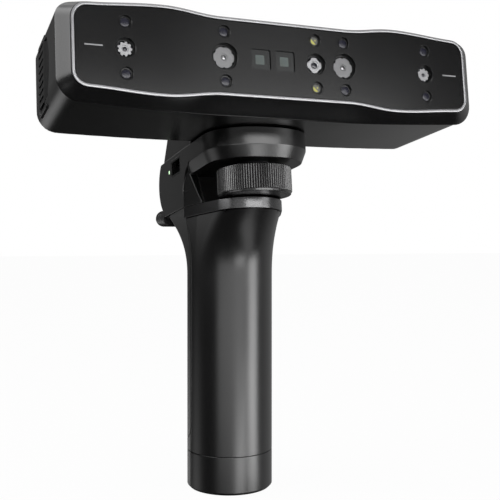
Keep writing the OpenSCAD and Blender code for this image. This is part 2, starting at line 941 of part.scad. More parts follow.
// A lamp: a short round body with a domed front, standing on its board.
module lamp(x, z) {
    translate([x, lamp_front, z])
        rotate([-90, 0, 0])
            intersection() {
                cylinder(h = frame_front - led_board_t - lamp_front, r = lamp_r);
                translate([0, 0, 1.5 * lamp_r])
                    sphere(1.5 * lamp_r);
            }
}

module infrared_lamps() {
    color([0.16, 0.16, 0.28])
        at_head()
            for (x = [-outer_camera_x, -inner_camera_x, inner_camera_x, outer_camera_x], side = [-1, 1])
                lamp(x, side * light_z);
}

module flash_lamps() {
    color([0.85, 0.85, 0.3])
        at_head()
            for (side = [-1, 1])
                lamp(colour_camera_x, side * light_z);
}

module lamp_board(x, w, ring_r) {
    difference() {
        translate([x - w / 2, frame_front - led_board_t, -led_board_z])
            cube([w, led_board_t, 2 * led_board_z]);
        barrel_hole(x, ring_r);
    }
}

module lamp_boards() {
    color([0.1, 0.25, 0.14])
        at_head() {
            lamp_board(-outer_camera_x, led_board_x, outer_ring_r);
            lamp_board(outer_camera_x, led_board_x, outer_ring_r);
            lamp_board(-inner_camera_x, led_board_x, inner_ring_r);
            lamp_board(inner_camera_x, led_board_x, inner_ring_r);
            lamp_board(colour_camera_x, flash_board_x, colour_ring_r);
        }
}

module projector(x) {
    color([0.25, 0.25, 0.27])
        at_head()
            translate([x - projector_body / 2, panel_t, -projector_body / 2])
                cube([projector_body, projector_l, projector_body]);
}

module projector_left() {
    projector(projector_left_x);
}

module projector_right() {
    projector(projector_right_x);
}

module projector_windows() {
    side = projector_window - 2 * fit;
    color([0.45, 0.5, 0.47])
        at_head()
            for (x = [projector_left_x, projector_right_x])
                translate([x - side / 2, panel_t - window_t, -side / 2])
                    cube([side, window_t, side]);
}

module camera_boards() {
    color([0.1, 0.25, 0.14])
        at_head()
            for (x = [-outer_camera_x, -inner_camera_x, colour_camera_x, inner_camera_x, outer_camera_x])
                translate([x - camera_board / 2, barrel_back, -camera_board / 2])
                    cube([camera_board, camera_board_t, camera_board]);
}

// Head: electronics
module main_board() {
    color([0.1, 0.25, 0.14])
        at_head()
            difference() {
                translate([-board_w / 2, board_front, board_low])
                    cube([board_w, board_t, board_high - board_low]);
                board_screw_shafts(fit);
            }
}

board_screw_r = 1;
board_screw_head_r = 1.9;
board_screw_head_t = 1.3;
board_screw_l = 6;
module board_screw_shafts(grow) {
    for (sx = [-1, 1], sz = [-1, 1])
        translate([sx * pillar_x, board_back - board_screw_l, sz * pillar_z])
            rotate([-90, 0, 0])
                cylinder(h = board_screw_l, r = board_screw_r + grow);
}

module board_screws() {
    color([0.7, 0.7, 0.72])
        at_head() {
            board_screw_shafts(-0.02);
            for (sx = [-1, 1], sz = [-1, 1])
                translate([sx * pillar_x, board_back, sz * pillar_z])
                    rotate([-90, 0, 0])
                        cylinder(h = board_screw_head_t, r = board_screw_head_r);
        }
}

module heat_sink() {
    pitch = (sink_w - fin_t) / (fin_count - 1);
    color([0.7, 0.71, 0.73])
        at_head()
            union() {
                translate([-sink_w / 2, board_back, -sink_h / 2])
                    cube([sink_w, sink_base_t, sink_h]);
                for (i = [0:fin_count - 1])
                    translate([i * pitch - sink_w / 2, board_back, -sink_h / 2])
                        cube([fin_t, sink_d, sink_h]);
            }
}

module at_fan() {
    at_head()
        translate([fan_x, fan_y, fan_z])
            rotate([0, 90, 0])
                children();
}

module fan_frame() {
    color([0.12, 0.12, 0.12])
        at_fan()
            difference() {
                union() {
                    difference() {
                        translate([-fan_size / 2, -fan_size / 2, 0])
                            cube([fan_size, fan_size, fan_t]);
                        translate([0, 0, -1])
                            cylinder(h = fan_t + 2, r = fan_bore_r);
                    }
                    cylinder(h = spider_t, r = rotor_hub_r);
                    for (a = [0, 60, 120])
                        rotate([0, 0, a])
                            translate([-fan_bore_r - 0.5, -spider_w / 2, 0])
                                cube([2 * fan_bore_r + 1, spider_w, spider_t]);
                }
                translate([0, 0, -1])
                    cylinder(h = spider_t + 2, r = fan_shaft_r + run_gap);
            }
}

module fan_rotor() {
    low = spider_t + 0.4;
    high = fan_t - 0.6;
    color([0.2, 0.2, 0.2])
        at_fan()
            union() {
                cylinder(h = low + 1, r = fan_shaft_r);
                translate([0, 0, low])
                    cylinder(h = high - low, r = rotor_hub_r);
                intersection() {
                    translate([0, 0, low])
                        cylinder(h = high - low, r = fan_bore_r - 0.8);
                    for (i = [0:fan_blades - 1])
                        rotate([0, 0, i * 360 / fan_blades])
                            translate([rotor_hub_r - 1, 0, (low + high) / 2])
                                rotate([50, 0, 0])
                                    translate([0, -far / 20, -0.45])
                                        cube([fan_size / 2, far / 10, 0.9]);
                }
            }
}

module head_bush() {
    color([0.8, 0.66, 0.35])
        at_head()
            translate([0, head_reach, -head_floor])
                difference() {
                    cylinder(h = head_bush_h, r = head_bush_r);
                    translate([0, 0, -1])
                        cylinder(h = head_bush_h + 2, r = thread_r);
                }
}

// Handle: top housing
function nose(inset) =
    let (a = flank_x - inset, b = platform_nose - inset, n = 2 / platform_square)
    [for (i = [0:36]) let (u = mix(180, 360, i / 36), c = cos(u), s = abs(sin(u)))
        [a * sign(c) * pow(abs(c), n), platform_nose - platform_front - b * pow(s, n)]];

function platform_ends(inset, back) = [[flank_x - inset, back], [inset - flank_x, back]];
module platform_plan(inset, back) {
    polygon(concat(nose(inset), platform_ends(inset, back)));
}

module rear_profile(inset) {
    y0 = cheek_foot_y - 1;
    union() {
        intersection() {
            translate([rear_round_y, -rear_round_z])
                circle(rear_round_r - inset);
            translate([y0, -notch_floor])
                square([far, notch_floor]);
        }
        translate([y0, -notch_floor])
            square([rear_round_y - y0, notch_floor]);
        polygon([
            [rear_round_y, -rear_round_z],
            [tail_y - inset, -tail_z],
            [tail_y - tail_in - inset, -notch_floor],
            [rear_round_y, -notch_floor]
        ]);
    }
}

column_plan_back = 80;
module column_plan(inset) {
    circles = [for (i = [0:4]) plan_circles(1)[i]];
    front = [for (i = [0:36]) plan_point(circles, mix(180, 360, i / 36), inset)];
    translate([0, neck_shift])
        polygon(concat(front, [[flank_x - inset, column_plan_back], [inset - flank_x, column_plan_back]]));
}

module top_housing() {
    color([0.2, 0.2, 0.21])
        at_seat()
            difference() {
                union() {
                    translate([0, 0, -platform_edge_h])
                        linear_extrude(platform_edge_h)
                            platform_plan(0, rear_round_y);
                    platform_underside();
                    cove_corner();
                    intersection() {
                        along_x(-flank_x, flank_x)
                            rear_profile(0);
                        translate([0, 0, -notch_floor])
                            linear_extrude(notch_floor)
                                column_plan(0);
                    }
                    intersection() {
                        along_x(-flank_x, flank_x)
                            rear_profile(0);
                        translate([-far / 2, notch_back, -platform_t])
                            cube([far, far, platform_t]);
                    }
                }
                notch();
                housing_cavity();
                translate([0, 0, -platform_t - 1])
                    cylinder(h = platform_t + 2, r = sleeve_r);
                translate([0, 0, -pad_recess - sleeve_collar_t])
                    cylinder(h = far, r = sleeve_collar_r);
                translate([0, 0, -pad_recess])
                    linear_extrude(far)
                        pad_plan(0);
                port_cut(bezel_t + fit / 2);
                status_cut();
                lever_slot_in_seat();
            }
}

pad_recess = pad_t - pad_proud;
pad_back = block_front - 2;
module pad_plan(inset) {
    platform_plan(pad_edge + inset, pad_back - inset);
}

// The slope under the platform's front, which ends in a smaller outline of the same form.
function platform_ring(inset, z) =
    [for (p = concat(nose(inset), platform_ends(inset, notch_back + 1))) [p[0], p[1], z]];
module platform_underside() {
    skin([platform_ring(platform_slope, -platform_t), platform_ring(0, -platform_edge_h)]);
}

// Fills the corner between the platform and the flank, up to the curve of the flank's front edge.
module cove_corner() {
    y = cove_edge - cove_r;
    z = -platform_edge_h - cove_r;
    along_x(-flank_x, flank_x)
        difference() {
            translate([y, z])
                square([cove_r + 1, cove_r]);
            translate([y, z])
                circle(cove_r);
        }
}

// The open notch in which the wheel turns: its cheeks' front edges lean back towards the platform.
module notch() {
    translate([-cheek_x, -far, -notch_floor - 1])
        cube([2 * cheek_x, far + notch_back, notch_floor + 1 - platform_t]);
    along_x(-far, far)
        polygon([
            [-far, -platform_t],
            [cheek_top_y, -platform_t],
            [cheek_foot_y, -notch_floor - 1],
            [-far, -notch_floor - 1]
        ]);
}

module housing_cavity() {
    intersection() {
        along_x(-cavity_x, cavity_x)
            rear_profile(top_wall);
        translate([-far, column_front, -notch_floor - 1])
            cube([2 * far, far, notch_floor + 1 - board_roof]);
    }
}

module port_cut(grow) {
    translate([-flank_x - 1, port_y - port_l / 2 - grow, -port_z - port_h / 2 - grow])
        cube([port_depth + 1.01, port_l + 2 * grow, port_h + 2 * grow]);
}

module status_cut() {
    translate([-flank_x - 1, status_y, -status_z])
        rotate([0, 90, 0])
            cylinder(h = port_depth + 2, r = status_r + fit);
}

module lever_slot() {
    translate([-tongue_x - lever_slot_gap, tongue_front, bar_low])
        cube([2 * (tongue_x + lever_slot_gap), bar_front - tongue_front + 4, lever_t]);
}

// The lever's slot, carried from the base's frame into the seat's.
module lever_slot_in_seat() {
    rotate([head_tilt, 0, 0])
        translate([0, -seat_y, -seat_z])
            lever_slot();
}

module platform_pad() {
    color([0.06, 0.06, 0.06])
        at_seat()
            difference() {
                translate([0, 0, -pad_recess])
                    linear_extrude(pad_t)
                        pad_plan(fit);
                translate([0, 0, -far / 2])
                    cylinder(h = far, r = sleeve_collar_r + fit);
            }
}

// Handle: rear block
block_x = flank_x - block_inset;
block_wall = 2.2;
module block_profile(inset) {
    lean = block_h * tan(block_lean);
    polygon([
        [block_front + inset, 0],
        [block_back - inset, 0],
        [block_back - inset - lean + (inset > 0 ? inset : 0), block_h - inset],
        [block_front + inset, block_h - inset]
    ]);
}

// The foot carries the block's rear face on, down to the rounded rear of the platform.
block_foot_h = 3;
module block_foot() {
    polygon([
        [block_back - block_wall, 0.5],
        [block_back, 0],
        [block_back + block_foot_h * tan(block_lean), -block_foot_h],
        [block_back - block_wall, -block_foot_h]
    ]);
}

module rear_block() {
    color([0.22, 0.22, 0.23])
        at_seat()
            difference() {
                along_x(-block_x, block_x) {
                    block_profile(0);
                    block_foot();
                }
                along_x(-far, far)
                    rear_profile(0);
                translate([0, 0, -eps])
                    along_x(block_wall - block_x, block_x - block_wall)
                        block_profile(block_wall);
            }
}

radio_w = 34;
radio_h = 20;
radio_low = 3;
radio_t = 1.4;
module radio_board() {
    color([0.1, 0.25, 0.14])
        at_seat()
            translate([-radio_w / 2, block_front + block_wall, radio_low])
                cube([radio_w, radio_t, radio_h]);
}

// Handle: grip shells
module seam_plane_cut(depth) {
    at_seat()
        translate([-far, -far, -depth])
            cube([2 * far, 2 * far, far]);
}

// The part of the grip that belongs to the rear shell, seen from the side.
module rear_region(grow) {
    y0 = side_seam_y - grow;
    z0 = rear_shell_z - grow;
    r = rear_shell_r;
    translate([-far / 2, 0, 0]) {
        translate([0, y0, z0 + r])
            cube([far, far, far]);
        translate([0, y0 + r, z0])
            cube([far, far, far]);
        translate([0, y0 + r, z0 + r])
            rotate([0, 90, 0])
                cylinder(h = far, r = r);
    }
}

module grip_tube() {
    difference() {
        skin([for (z = grip_levels(base_h + seam_gap, flare_end + 6)) plan_ring(z, 0)]);
        skin([for (z = grip_levels(base_h - 1, flare_end + 8)) plan_ring(z, grip_wall)]);
    }
}

module grip_front() {
    color([0.22, 0.22, 0.23])
        difference() {
            grip_tube();
            seam_plane_cut(notch_floor + band_h + seam_gap);
            rear_region(seam_gap);
        }
}

module grip_rear() {
    color([0.17, 0.17, 0.18])
        difference() {
            intersection() {
                grip_tube();
                rear_region(0);
            }
            seam_plane_cut(notch_floor + seam_gap);
            lever_slot();
        }
}

// The bright band that closes the neck under the wheel.
band_floor_t = 1.6;
module neck_band() {
    color([0.3, 0.3, 0.31])
        difference() {
            at_seat()
                difference() {
                    translate([0, 0, -notch_floor - band_h])
                        linear_extrude(band_h - seam_gap)
                            column_plan(0);
                    translate([0, 0, -notch_floor - band_h - 1])
                        linear_extrude(band_h + 1 - seam_gap - band_floor_t)
                            column_plan(grip_wall);
                }
            rear_region(seam_gap);
        }
}

// Handle: base
module base_cap() {
    color([0.21, 0.21, 0.22])
        difference() {
            union() {
                rotate_extrude()
                    polygon([
                        [0, 0],
                        [grip_r - base_chamfer, 0],
                        [grip_r, base_chamfer],
                        [grip_r, base_h],
                        [spigot_r, base_h],
                        [spigot_r, base_h + cap_spigot_h],
                        [spigot_r - spigot_t, base_h + cap_spigot_h],
                        [spigot_r - spigot_t, base_floor],
                        [0, base_floor]
                    ]);
                cylinder(h = bush_h, r = bush_r + bush_wall);
                for (side = [-1, 1])
                    translate([side * base_screw_x, 0, 0])
                        cylinder(h = cradle_foot, r = base_boss_r);
            }
            translate([0, 0, -1])
                cylinder(h = bush_h + 2, r = bush_r);
            base_screw_holes(fit);
        }
}

module base_screw_holes(grow) {
    for (side = [-1, 1])
        translate([side * base_screw_x, 0, 0]) {
            translate([0, 0, -1])
                cylinder(h = base_screw_head_t + 1.4, r = base_screw_head_r + grow);
            cylinder(h = cradle_foot + 1, r = base_screw_r + grow);
        }
}

module base_bush() {
    color([0.8, 0.66, 0.35])
        difference() {
            cylinder(h = bush_h, r = bush_r);
            translate([0, 0, -1])
                cylinder(h = bush_h + 2, r = thread_r);
        }
}

module base_screws() {
    head_low = 0.4;
    color([0.5, 0.5, 0.52])
        for (side = [-1, 1])
            translate([side * base_screw_x, 0, head_low]) {
                cylinder(h = base_screw_head_t, r = base_screw_head_r);
                cylinder(h = cradle_foot + cradle_disc_t - 0.5 - head_low, r = base_screw_r);
            }
}

// Handle: battery
module battery_cell() {
    color([0.2, 0.45, 0.6])
        translate([0, 0, cell_foot])
            cylinder(h = cell_h, r = cell_r);
}

module battery_cradle() {
    color([0.1, 0.1, 0.1])
        difference() {
            union() {
                translate([0, 0, cradle_foot])
                    cylinder(h = cradle_disc_t, r = cradle_r);
                translate([0, 0, cradle_head])
                    cylinder(h = cradle_disc_t, r = cradle_r);
                for (side = [-1, 1])
                    translate([side * (rail_y + rail_t / 2) - rail_t / 2, -rail_w / 2, cradle_foot])
                        cube([rail_t, rail_w, cradle_head - cradle_foot + eps]);
            }
            for (side = [-1, 1])
                translate([side * base_screw_x, 0, cradle_foot - 1])
                    cylinder(h = cradle_disc_t + 1, r = base_screw_r);
        }
}

module battery_contacts() {
    color([0.8, 0.75, 0.6]) {
        translate([-contact_size / 2, -contact_size / 2, cradle_foot + cradle_disc_t])
            cube([contact_size, contact_size, contact_low_t]);
        translate([-contact_size / 2, -contact_size / 2, cell_top])
            cube([contact_size, contact_size, contact_high_t]);
    }
}

// Handle: charging port
module charge_board() {
    x = port_x - fit;
    color([0.1, 0.25, 0.14])
        at_seat()
            translate([-x, port_y - 6.5, -charge_top - charge_t])
                cube([2 * x, status_y - port_y + 9, charge_t]);
}

module usb_socket() {
    color([0.75, 0.75, 0.77])
        at_seat()
            difference() {
                translate([-port_x + fit, port_y - usb_w / 2, -charge_top])
                    cube([usb_l, usb_w, usb_h]);
                translate([-port_x - 1, port_y - usb_w / 2 + 0.5, -charge_top + 0.5])
                    cube([usb_l - 1, usb_w - 1, usb_h - 1]);
            }
}

module port_bezel() {
    color([0.08, 0.08, 0.08])
        at_seat()
            difference() {
                translate([-flank_x, port_y - port_l / 2 - bezel_t, -port_z - port_h / 2 - bezel_t])
                    cube([port_depth - fit, port_l + 2 * bezel_t, port_h + 2 * bezel_t]);
                port_cut(0);
            }
}

module status_light() {
    color([0.75, 0.95, 0.75])
        at_seat()
            translate([-flank_x, status_y, -status_z])
                rotate([0, 90, 0])
                    cylinder(h = port_depth + 0.6, r = status_r);
}

// Handle: clamp
module wheel_sleeve() {
    color([0.7, 0.7, 0.72])
        at_seat()
            difference() {
                union() {
                    translate([0, 0, -sleeve_foot])
                        cylinder(h = sleeve_foot - pad_recess - eps, r = sleeve_r);
                    translate([0, 0, -pad_recess - sleeve_collar_t])
                        cylinder(h = sleeve_collar_t, r = sleeve_collar_r);
                }
                translate([0, 0, -far / 2])
                    cylinder(h = far, r = screw_r + run_gap);
            }
}

module thrust_washer() {
    color([0.75, 0.75, 0.77])
        at_seat()
            translate([0, 0, -wheel_top + fit])
                difference() {
                    cylinder(h = wheel_gap - fit, r = sleeve_r + 3.5);
                    translate([0, 0, -1])
                        cylinder(h = wheel_gap + 2, r = sleeve_r + run_gap);
                }
}

module sleeve_clip() {
    color([0.5, 0.5, 0.52])
        at_seat()
            translate([0, 0, -clip_top - clip_t])
                difference() {
                    cylinder(h = clip_t, r = clip_r);
                    translate([0, 0, -1])
                        cylinder(h = clip_t + 2, r = sleeve_r);
                    translate([-1, -far, -1])
                        cube([2, far, clip_t + 2]);
                }
}

function knurl_outline() = [for (i = [0:2 * knurl_count - 1])
    let (a = i * 180 / knurl_count, r = wheel_r - (i % 2) * knurl_depth) [r * cos(a), r * sin(a)]];

module clamp_wheel() {
    color([0.17, 0.17, 0.18])
        at_seat()
            difference() {
                union() {
                    translate([0, 0, -wheel_foot])
                        linear_extrude(wheel_h)
                            polygon(knurl_outline());
                    translate([0, 0, -lip_foot])
                        cylinder(h = wheel_lip_h + eps, r = lip_r);
                }
                translate([0, 0, -lip_foot - 1])
                    cylinder(h = lip_foot + 1 - web_foot, r = wheel_bore_r);
                translate([0, 0, -lip_foot - 1])
                    cylinder(h = far, r = sleeve_r + run_gap);
            }
}

hex_r = (screw_head_af + 2 * fit) * hex_per_af;
module wheel_cap() {
    color([0.14, 0.14, 0.15])
        at_seat()
            difference() {
                union() {
                    translate([0, 0, -lip_foot])
                        cylinder(h = cap_plate_t, r = wheel_bore_r - 0.02);
                    translate([0, 0, -lip_foot])
                        cylinder(h = lip_foot - pocket_top, r = cap_hub_r);
                }
                translate([0, 0, -lip_foot + cap_floor])
                    cylinder(h = far, r = hex_r, $fn = 6);
            }
}

module clamp_screw() {
    tip = head_foot + screw_bite;
    color([0.62, 0.62, 0.64])
        at_seat()
            union() {
                translate([0, 0, -sleeve_foot - screw_head_t])
                    cylinder(h = screw_head_t, r = screw_head_af * hex_per_af, $fn = 6);
                translate([0, 0, -sleeve_foot - eps])
                    cylinder(h = sleeve_foot + tip - 0.5 + eps, r = screw_r);
                translate([0, 0, tip - 0.5 - eps])
                    cylinder(h = 0.5 + eps, r = screw_r - 0.4);
            }
}

// Handle: thumb lever
// The bar's outline seen from behind: its ends are half circles.
module pill(inset) {
    r = lever_t / 2 - inset;
    translate([0, bar_low + lever_t / 2]) {
        translate([r + inset - lever_x, -r])
            square([2 * (lever_x - r - inset), 2 * r]);
        for (side = [-1, 1])
            translate([side * (lever_x - r - inset), 0])
                circle(r);
    }
}

module lever_bar() {
    difference() {
        intersection() {
            along_y(bar_front, lever_end_y)
                pill(0);
            along_x(-far, far) {
                translate([0, bar_low])
                    square([lever_end_y - bar_edge_r, lever_t]);
                translate([0, bar_low + bar_edge_r])
                    square([lever_end_y, lever_t - 2 * bar_edge_r]);
                for (z = [bar_low + bar_edge_r, bar_low + lever_t - bar_edge_r])
                    translate([lever_end_y - bar_edge_r, z])
                        circle(bar_edge_r);
            }
        }
        for (y = groove_y)
            along_y(y, y + groove_w)
                difference() {
                    pill(-1);
                    pill(lever_groove);
                }
    }
}

module thumb_lever() {
    color([0.15, 0.15, 0.16])
        difference() {
            union() {
                translate([-tongue_x, tongue_front, lever_pin_z - tongue_t / 2])
                    cube([2 * tongue_x, bar_front - tongue_front + 1, tongue_t]);
                lever_bar();
            }
            translate([-far / 2, lever_pin_y, lever_pin_z])
                rotate([0, 90, 0])
                    cylinder(h = far, r = lever_pin_r + run_gap);
        }
}

module lever_pin() {
    half = bracket_x + bracket_t;
    color([0.7, 0.7, 0.72])
        translate([-half, lever_pin_y, lever_pin_z])
            rotate([0, 90, 0])
                cylinder(h = 2 * half, r = lever_pin_r);
}

module lever_bracket() {
    l = bracket_back - bracket_front;
    side_x = bracket_x + bracket_t;
    color([0.6, 0.6, 0.62])
        difference() {
            union() {
                for (side = [-1, 1])
                    translate([side > 0 ? bracket_x : -side_x, bracket_front, bracket_low])
                        cube([bracket_t, l, bridge_low + bridge_t - bracket_low]);
                translate([-cavity_x, bracket_front, bridge_low])
                    cube([2 * cavity_x, l, bridge_t]);
                translate([-side_x, bracket_front, stop_high - stop_t])
                    cube([2 * side_x, stop_back - bracket_front, stop_t]);
            }
            translate([-far / 2, lever_pin_y, lever_pin_z])
                rotate([0, 90, 0])
                    cylinder(h = far, r = lever_pin_r);
        }
}

module lever_spring() {
    low = lever_pin_z + tongue_t / 2;
    color([0.75, 0.75, 0.77])
        translate([spring_x, spring_y, low])
            difference() {
                cylinder(h = bridge_low - low, r = spring_r);
                translate([0, 0, -1])
                    cylinder(h = bridge_low - low + 2, r = spring_bore_r);
            }
}

module lever_switch() {
    color([0.1, 0.1, 0.1])
        translate([switch_x, tongue_front - 1, switch_low])
            cube([switch_w, switch_l, switch_h]);
}

front_panel();
front_rim();
front_cover();
rear_housing();
vent_grille_left();
vent_grille_right();
optics_frame();
outer_camera_left();
outer_camera_right();
outer_lens_left();
outer_lens_right();
inner_camera_left();
inner_camera_right();
inner_lens_left();
inner_lens_right();
colour_camera();
colour_lens();
infrared_lamps();
lamp_boards();
flash_lamps();
projector_left();
projector_right();
projector_windows();
level_marks();
camera_boards();
main_board();
board_screws();
heat_sink();
fan_frame();
fan_rotor();
head_bush();
top_housing();
platform_pad();
rear_block();
radio_board();
neck_band();
grip_front();
grip_rear();
base_cap();
base_bush();
base_screws();
battery_cell();
battery_cradle();
battery_contacts();
charge_board();
usb_socket();
port_bezel();
status_light();
wheel_sleeve();
thrust_washer();
sleeve_clip();
clamp_wheel();
wheel_cap();
clamp_screw();
thumb_lever();
lever_pin();
lever_bracket();
lever_spring();
lever_switch();
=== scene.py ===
from math import asin, cos, degrees, pi, radians, sin, sqrt, tan

import bpy
from mathutils import Matrix, Vector


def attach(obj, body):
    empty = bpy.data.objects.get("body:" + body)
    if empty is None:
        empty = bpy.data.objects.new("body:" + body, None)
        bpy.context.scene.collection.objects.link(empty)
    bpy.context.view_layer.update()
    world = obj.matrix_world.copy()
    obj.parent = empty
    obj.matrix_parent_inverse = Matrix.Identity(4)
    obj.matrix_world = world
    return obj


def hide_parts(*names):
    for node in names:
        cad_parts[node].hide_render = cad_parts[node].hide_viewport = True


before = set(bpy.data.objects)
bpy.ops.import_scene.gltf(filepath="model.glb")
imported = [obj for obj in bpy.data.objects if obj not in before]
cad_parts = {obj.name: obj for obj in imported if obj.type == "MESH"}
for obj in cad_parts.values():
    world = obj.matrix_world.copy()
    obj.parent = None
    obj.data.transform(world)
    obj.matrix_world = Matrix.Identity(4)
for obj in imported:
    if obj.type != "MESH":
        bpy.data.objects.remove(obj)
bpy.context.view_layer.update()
scene = bpy.context.scene

# Frames, in millimetres
MM = 0.001
TILT = 6.8
SEAT_Y, SEAT_Z = -28.6, 160.9
HEAD_REACH, HEAD_LIFT = 39.5, 21.6
BASE = Matrix.Identity(4)
SEAT = Matrix.Translation((0, SEAT_Y, SEAT_Z)) @ Matrix.Rotation(radians(-TILT), 4, "X")
HEAD = SEAT @ Matrix.Translation((0, -HEAD_REACH, HEAD_LIFT))

# Head: half its width, its top over the panel's middle, and its depth.
# The cover reaches down to HEAD_LOW and the housing to HEAD_FLOOR, and both rise towards the ends.
HEAD_HALF, HEAD_TOP, HEAD_D = 90.6, 17.19, 57.0
HEAD_LOW, HEAD_FLOOR = 22.4, 20.9
END_RISE, RISE_FROM = 2.1, 30
TOP_R, LOW_R = 6, 9.0
COVER_D, SHELL_WALL = 5.4, 2.4

# Panel: half its height is PANEL_MID at its middle, swells, and falls again towards its ends
PANEL_HALF, PANEL_R = 84.3, 5
PANEL_MID, PANEL_SWELL, PANEL_FALL = 14.5, 2.1, 1.9
SWELL_FROM, SWELL_TO = 27, 50
OUTER_X, INNER_X, COLOUR_X, LIGHT_Z = 65.4, 26.2, 13.1, 9.9
LAMP_X = (-OUTER_X, -INNER_X, INNER_X, OUTER_X)

# Vents, in the head's ends: a scoop that slopes out to a plate with slots
SCOOP_FRONT, SCOOP_BACK, SCOOP_R, SCOOP_H, SCOOP_DEPTH = 20.0, 33.2, 14.6, 23.6, 3.4
VENT_MID, VENT_BACK, VENT_H = -0.7, 49.0, 27.4
VENT_SLOTS, SLOT_PITCH, SLOT_FRONT, SLOT_BACK = 9, 3.0, 35.3, 47.4

# Platform, neck and grip
NOSE_WIDE, NOSE_LONG, NOSE_TIP, NOSE_POWER = 23.4, 20.4, -19.6, 2.3
GRIP_R, GRIP_WALL, GRIP_LOW, GRIP_HIGH = 20.0, 2.2, 17.55, 138.0
FLARE_LOW, FLARE_HIGH, FLARE_POWER, FLARE_STEPS = 99.0, 130.0, 2.3, 24
NOTCH_FLOOR, BAND_H, SEAM = 26.8, 5.0, 0.15


# Selecting and shaping
def only(obj):
    """Leaves this one object selected and active, in object mode."""
    if bpy.context.object and bpy.context.object.mode != "OBJECT":
        bpy.ops.object.mode_set(mode="OBJECT")
    bpy.ops.object.select_all(action="DESELECT")
    obj.select_set(True)
    bpy.context.view_layer.objects.active = obj


def add(name, primitive, **how):
    """A new primitive, alone and named."""
    bpy.ops.object.select_all(action="DESELECT")
    primitive(**how)
    obj = bpy.context.object
    obj.name = obj.data.name = name
    return obj


def pick_edges(obj, test):
    """Opens the object for editing with only the edges selected that the test finds."""
    only(obj)
    bpy.ops.object.mode_set(mode="EDIT")
    bpy.ops.mesh.select_mode(type="EDGE")
    bpy.ops.mesh.select_all(action="DESELECT")
    bpy.ops.object.mode_set(mode="OBJECT")
    for line in obj.data.edges:
        line.select = test(line)
    bpy.ops.object.mode_set(mode="EDIT")


def close(obj, fill):
    """Merges doubles, fills open ends if asked to and turns the normals outwards."""
    only(obj)
    bpy.ops.object.mode_set(mode="EDIT")
    bpy.ops.mesh.select_all(action="SELECT")
    bpy.ops.mesh.remove_doubles(threshold=1e-4)
    if fill:
        bpy.ops.mesh.fill_holes(sides=0)
    bpy.ops.mesh.normals_make_consistent(inside=False)
    bpy.ops.object.mode_set(mode="OBJECT")


def skin(name, rings, loop=False):
    """A grid wrapped through rings of points, closed at both ends or back to its first ring."""
    rows = rings + rings[:1] if loop else rings
    around, along = len(rings[0]), len(rows) - 1
    obj = add(name, bpy.ops.mesh.primitive_grid_add, x_subdivisions=around, y_subdivisions=along)
    points = [point for ring in rows for point in ring + ring[:1]]
    for vertex, point in zip(obj.data.vertices, points):
        vertex.co = point
    close(obj, fill=not loop)
    return obj


def ring_xz(points, y):
    """An upright ring at a depth."""
    return [(x, y, z) for x, z in points]


def ring_xy(points, z):
    """A level ring at a height."""
    return [(x, y, z) for x, y in points]


def circle(r, steps, cx=0.0, cy=0.0):
    turns = [2 * pi * i / steps for i in range(steps)]
    return [(cx + r * cos(a), cy + r * sin(a)) for a in turns]


def turned(name, profile, x, z, steps):
    """A piece turned about an axis along Y, from pairs of radius and depth."""
    return skin(name, [ring_xz(circle(r, steps, x, z), y) for r, y in profile])


def lathed(name, profile, steps, x=0.0, y=0.0):
    """A piece turned about an upright axis, from pairs of radius and height."""
    obj = skin(name, [ring_xy(circle(r, steps), z) for r, z in profile])
    obj.data.transform(Matrix.Translation((x, y, 0)))
    return obj


def rod(name, r, low, high, steps, x=0.0, y=0.0):
    """An upright rod between two heights."""
    return lathed(name, [(0, low), (r, low), (r, high), (0, high)], steps, x, y)


def prism(name, points, low, high, axis="X"):
    """An outline drawn out along an axis. Along X the outline is in Y and Z, along Z it is in X and Y."""
    if axis == "X":
        rings = [[(x, a, b) for a, b in points] for x in (low, high)]
    elif axis == "Y":
        rings = [[(a, y, b) for a, b in points] for y in (low, high)]
    else:
        rings = [[(a, b, z) for a, b in points] for z in (low, high)]
    return skin(name, rings)


def block(name, low, high):
    """A box between two corners."""
    (x0, y0, z0), (x1, y1, z1) = low, high
    return prism(name, [(x0, y0), (x1, y0), (x1, y1), (x0, y1)], z0, z1, "Z")


def carve(obj, *tools, how="DIFFERENCE"):
    """Cuts, joins or meets the object with tools, which are used up."""
    for tool in tools:
        mod = obj.modifiers.new("carve", "BOOLEAN")
        mod.operation, mod.object, mod.solver = how, tool, "EXACT"
        only(obj)
        bpy.ops.object.modifier_apply(modifier=mod.name)
        bpy.data.objects.remove(tool)
    return obj


def soften(obj, width, steps=2, angle=35.0):
    """Rounds the edges that are sharper than an angle."""
    mod = obj.modifiers.new("soften", "BEVEL")
    mod.width, mod.segments, mod.limit_method, mod.angle_limit = width, steps, "ANGLE", radians(angle)
    mod.use_clamp_overlap = False
    only(obj)
    bpy.ops.object.modifier_apply(modifier=mod.name)


def join(name, *objs):
    """Joins objects into the first."""
    only(objs[0])
    for obj in objs[1:]:
        obj.select_set(True)
    bpy.ops.object.join()
    objs[0].name = name
    return objs[0]


def from_node(name, node, where):
    """A new piece that starts as a merged copy of a CAD node, in its frame's millimetres."""
    obj = bpy.data.objects.new(name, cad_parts[node].data.copy())
    scene.collection.objects.link(obj)
    obj.data.name = name
    obj.data.materials.clear()
    obj.data.transform((Matrix.Scale(MM, 4) @ where).inverted())
    only(obj)
    bpy.ops.object.mode_set(mode="EDIT")
    bpy.ops.mesh.select_all(action="SELECT")
    bpy.ops.mesh.remove_doubles(threshold=0.002)
    bpy.ops.mesh.dissolve_limited(angle_limit=radians(0.6), delimit=set())
    bpy.ops.object.mode_set(mode="OBJECT")
    return obj


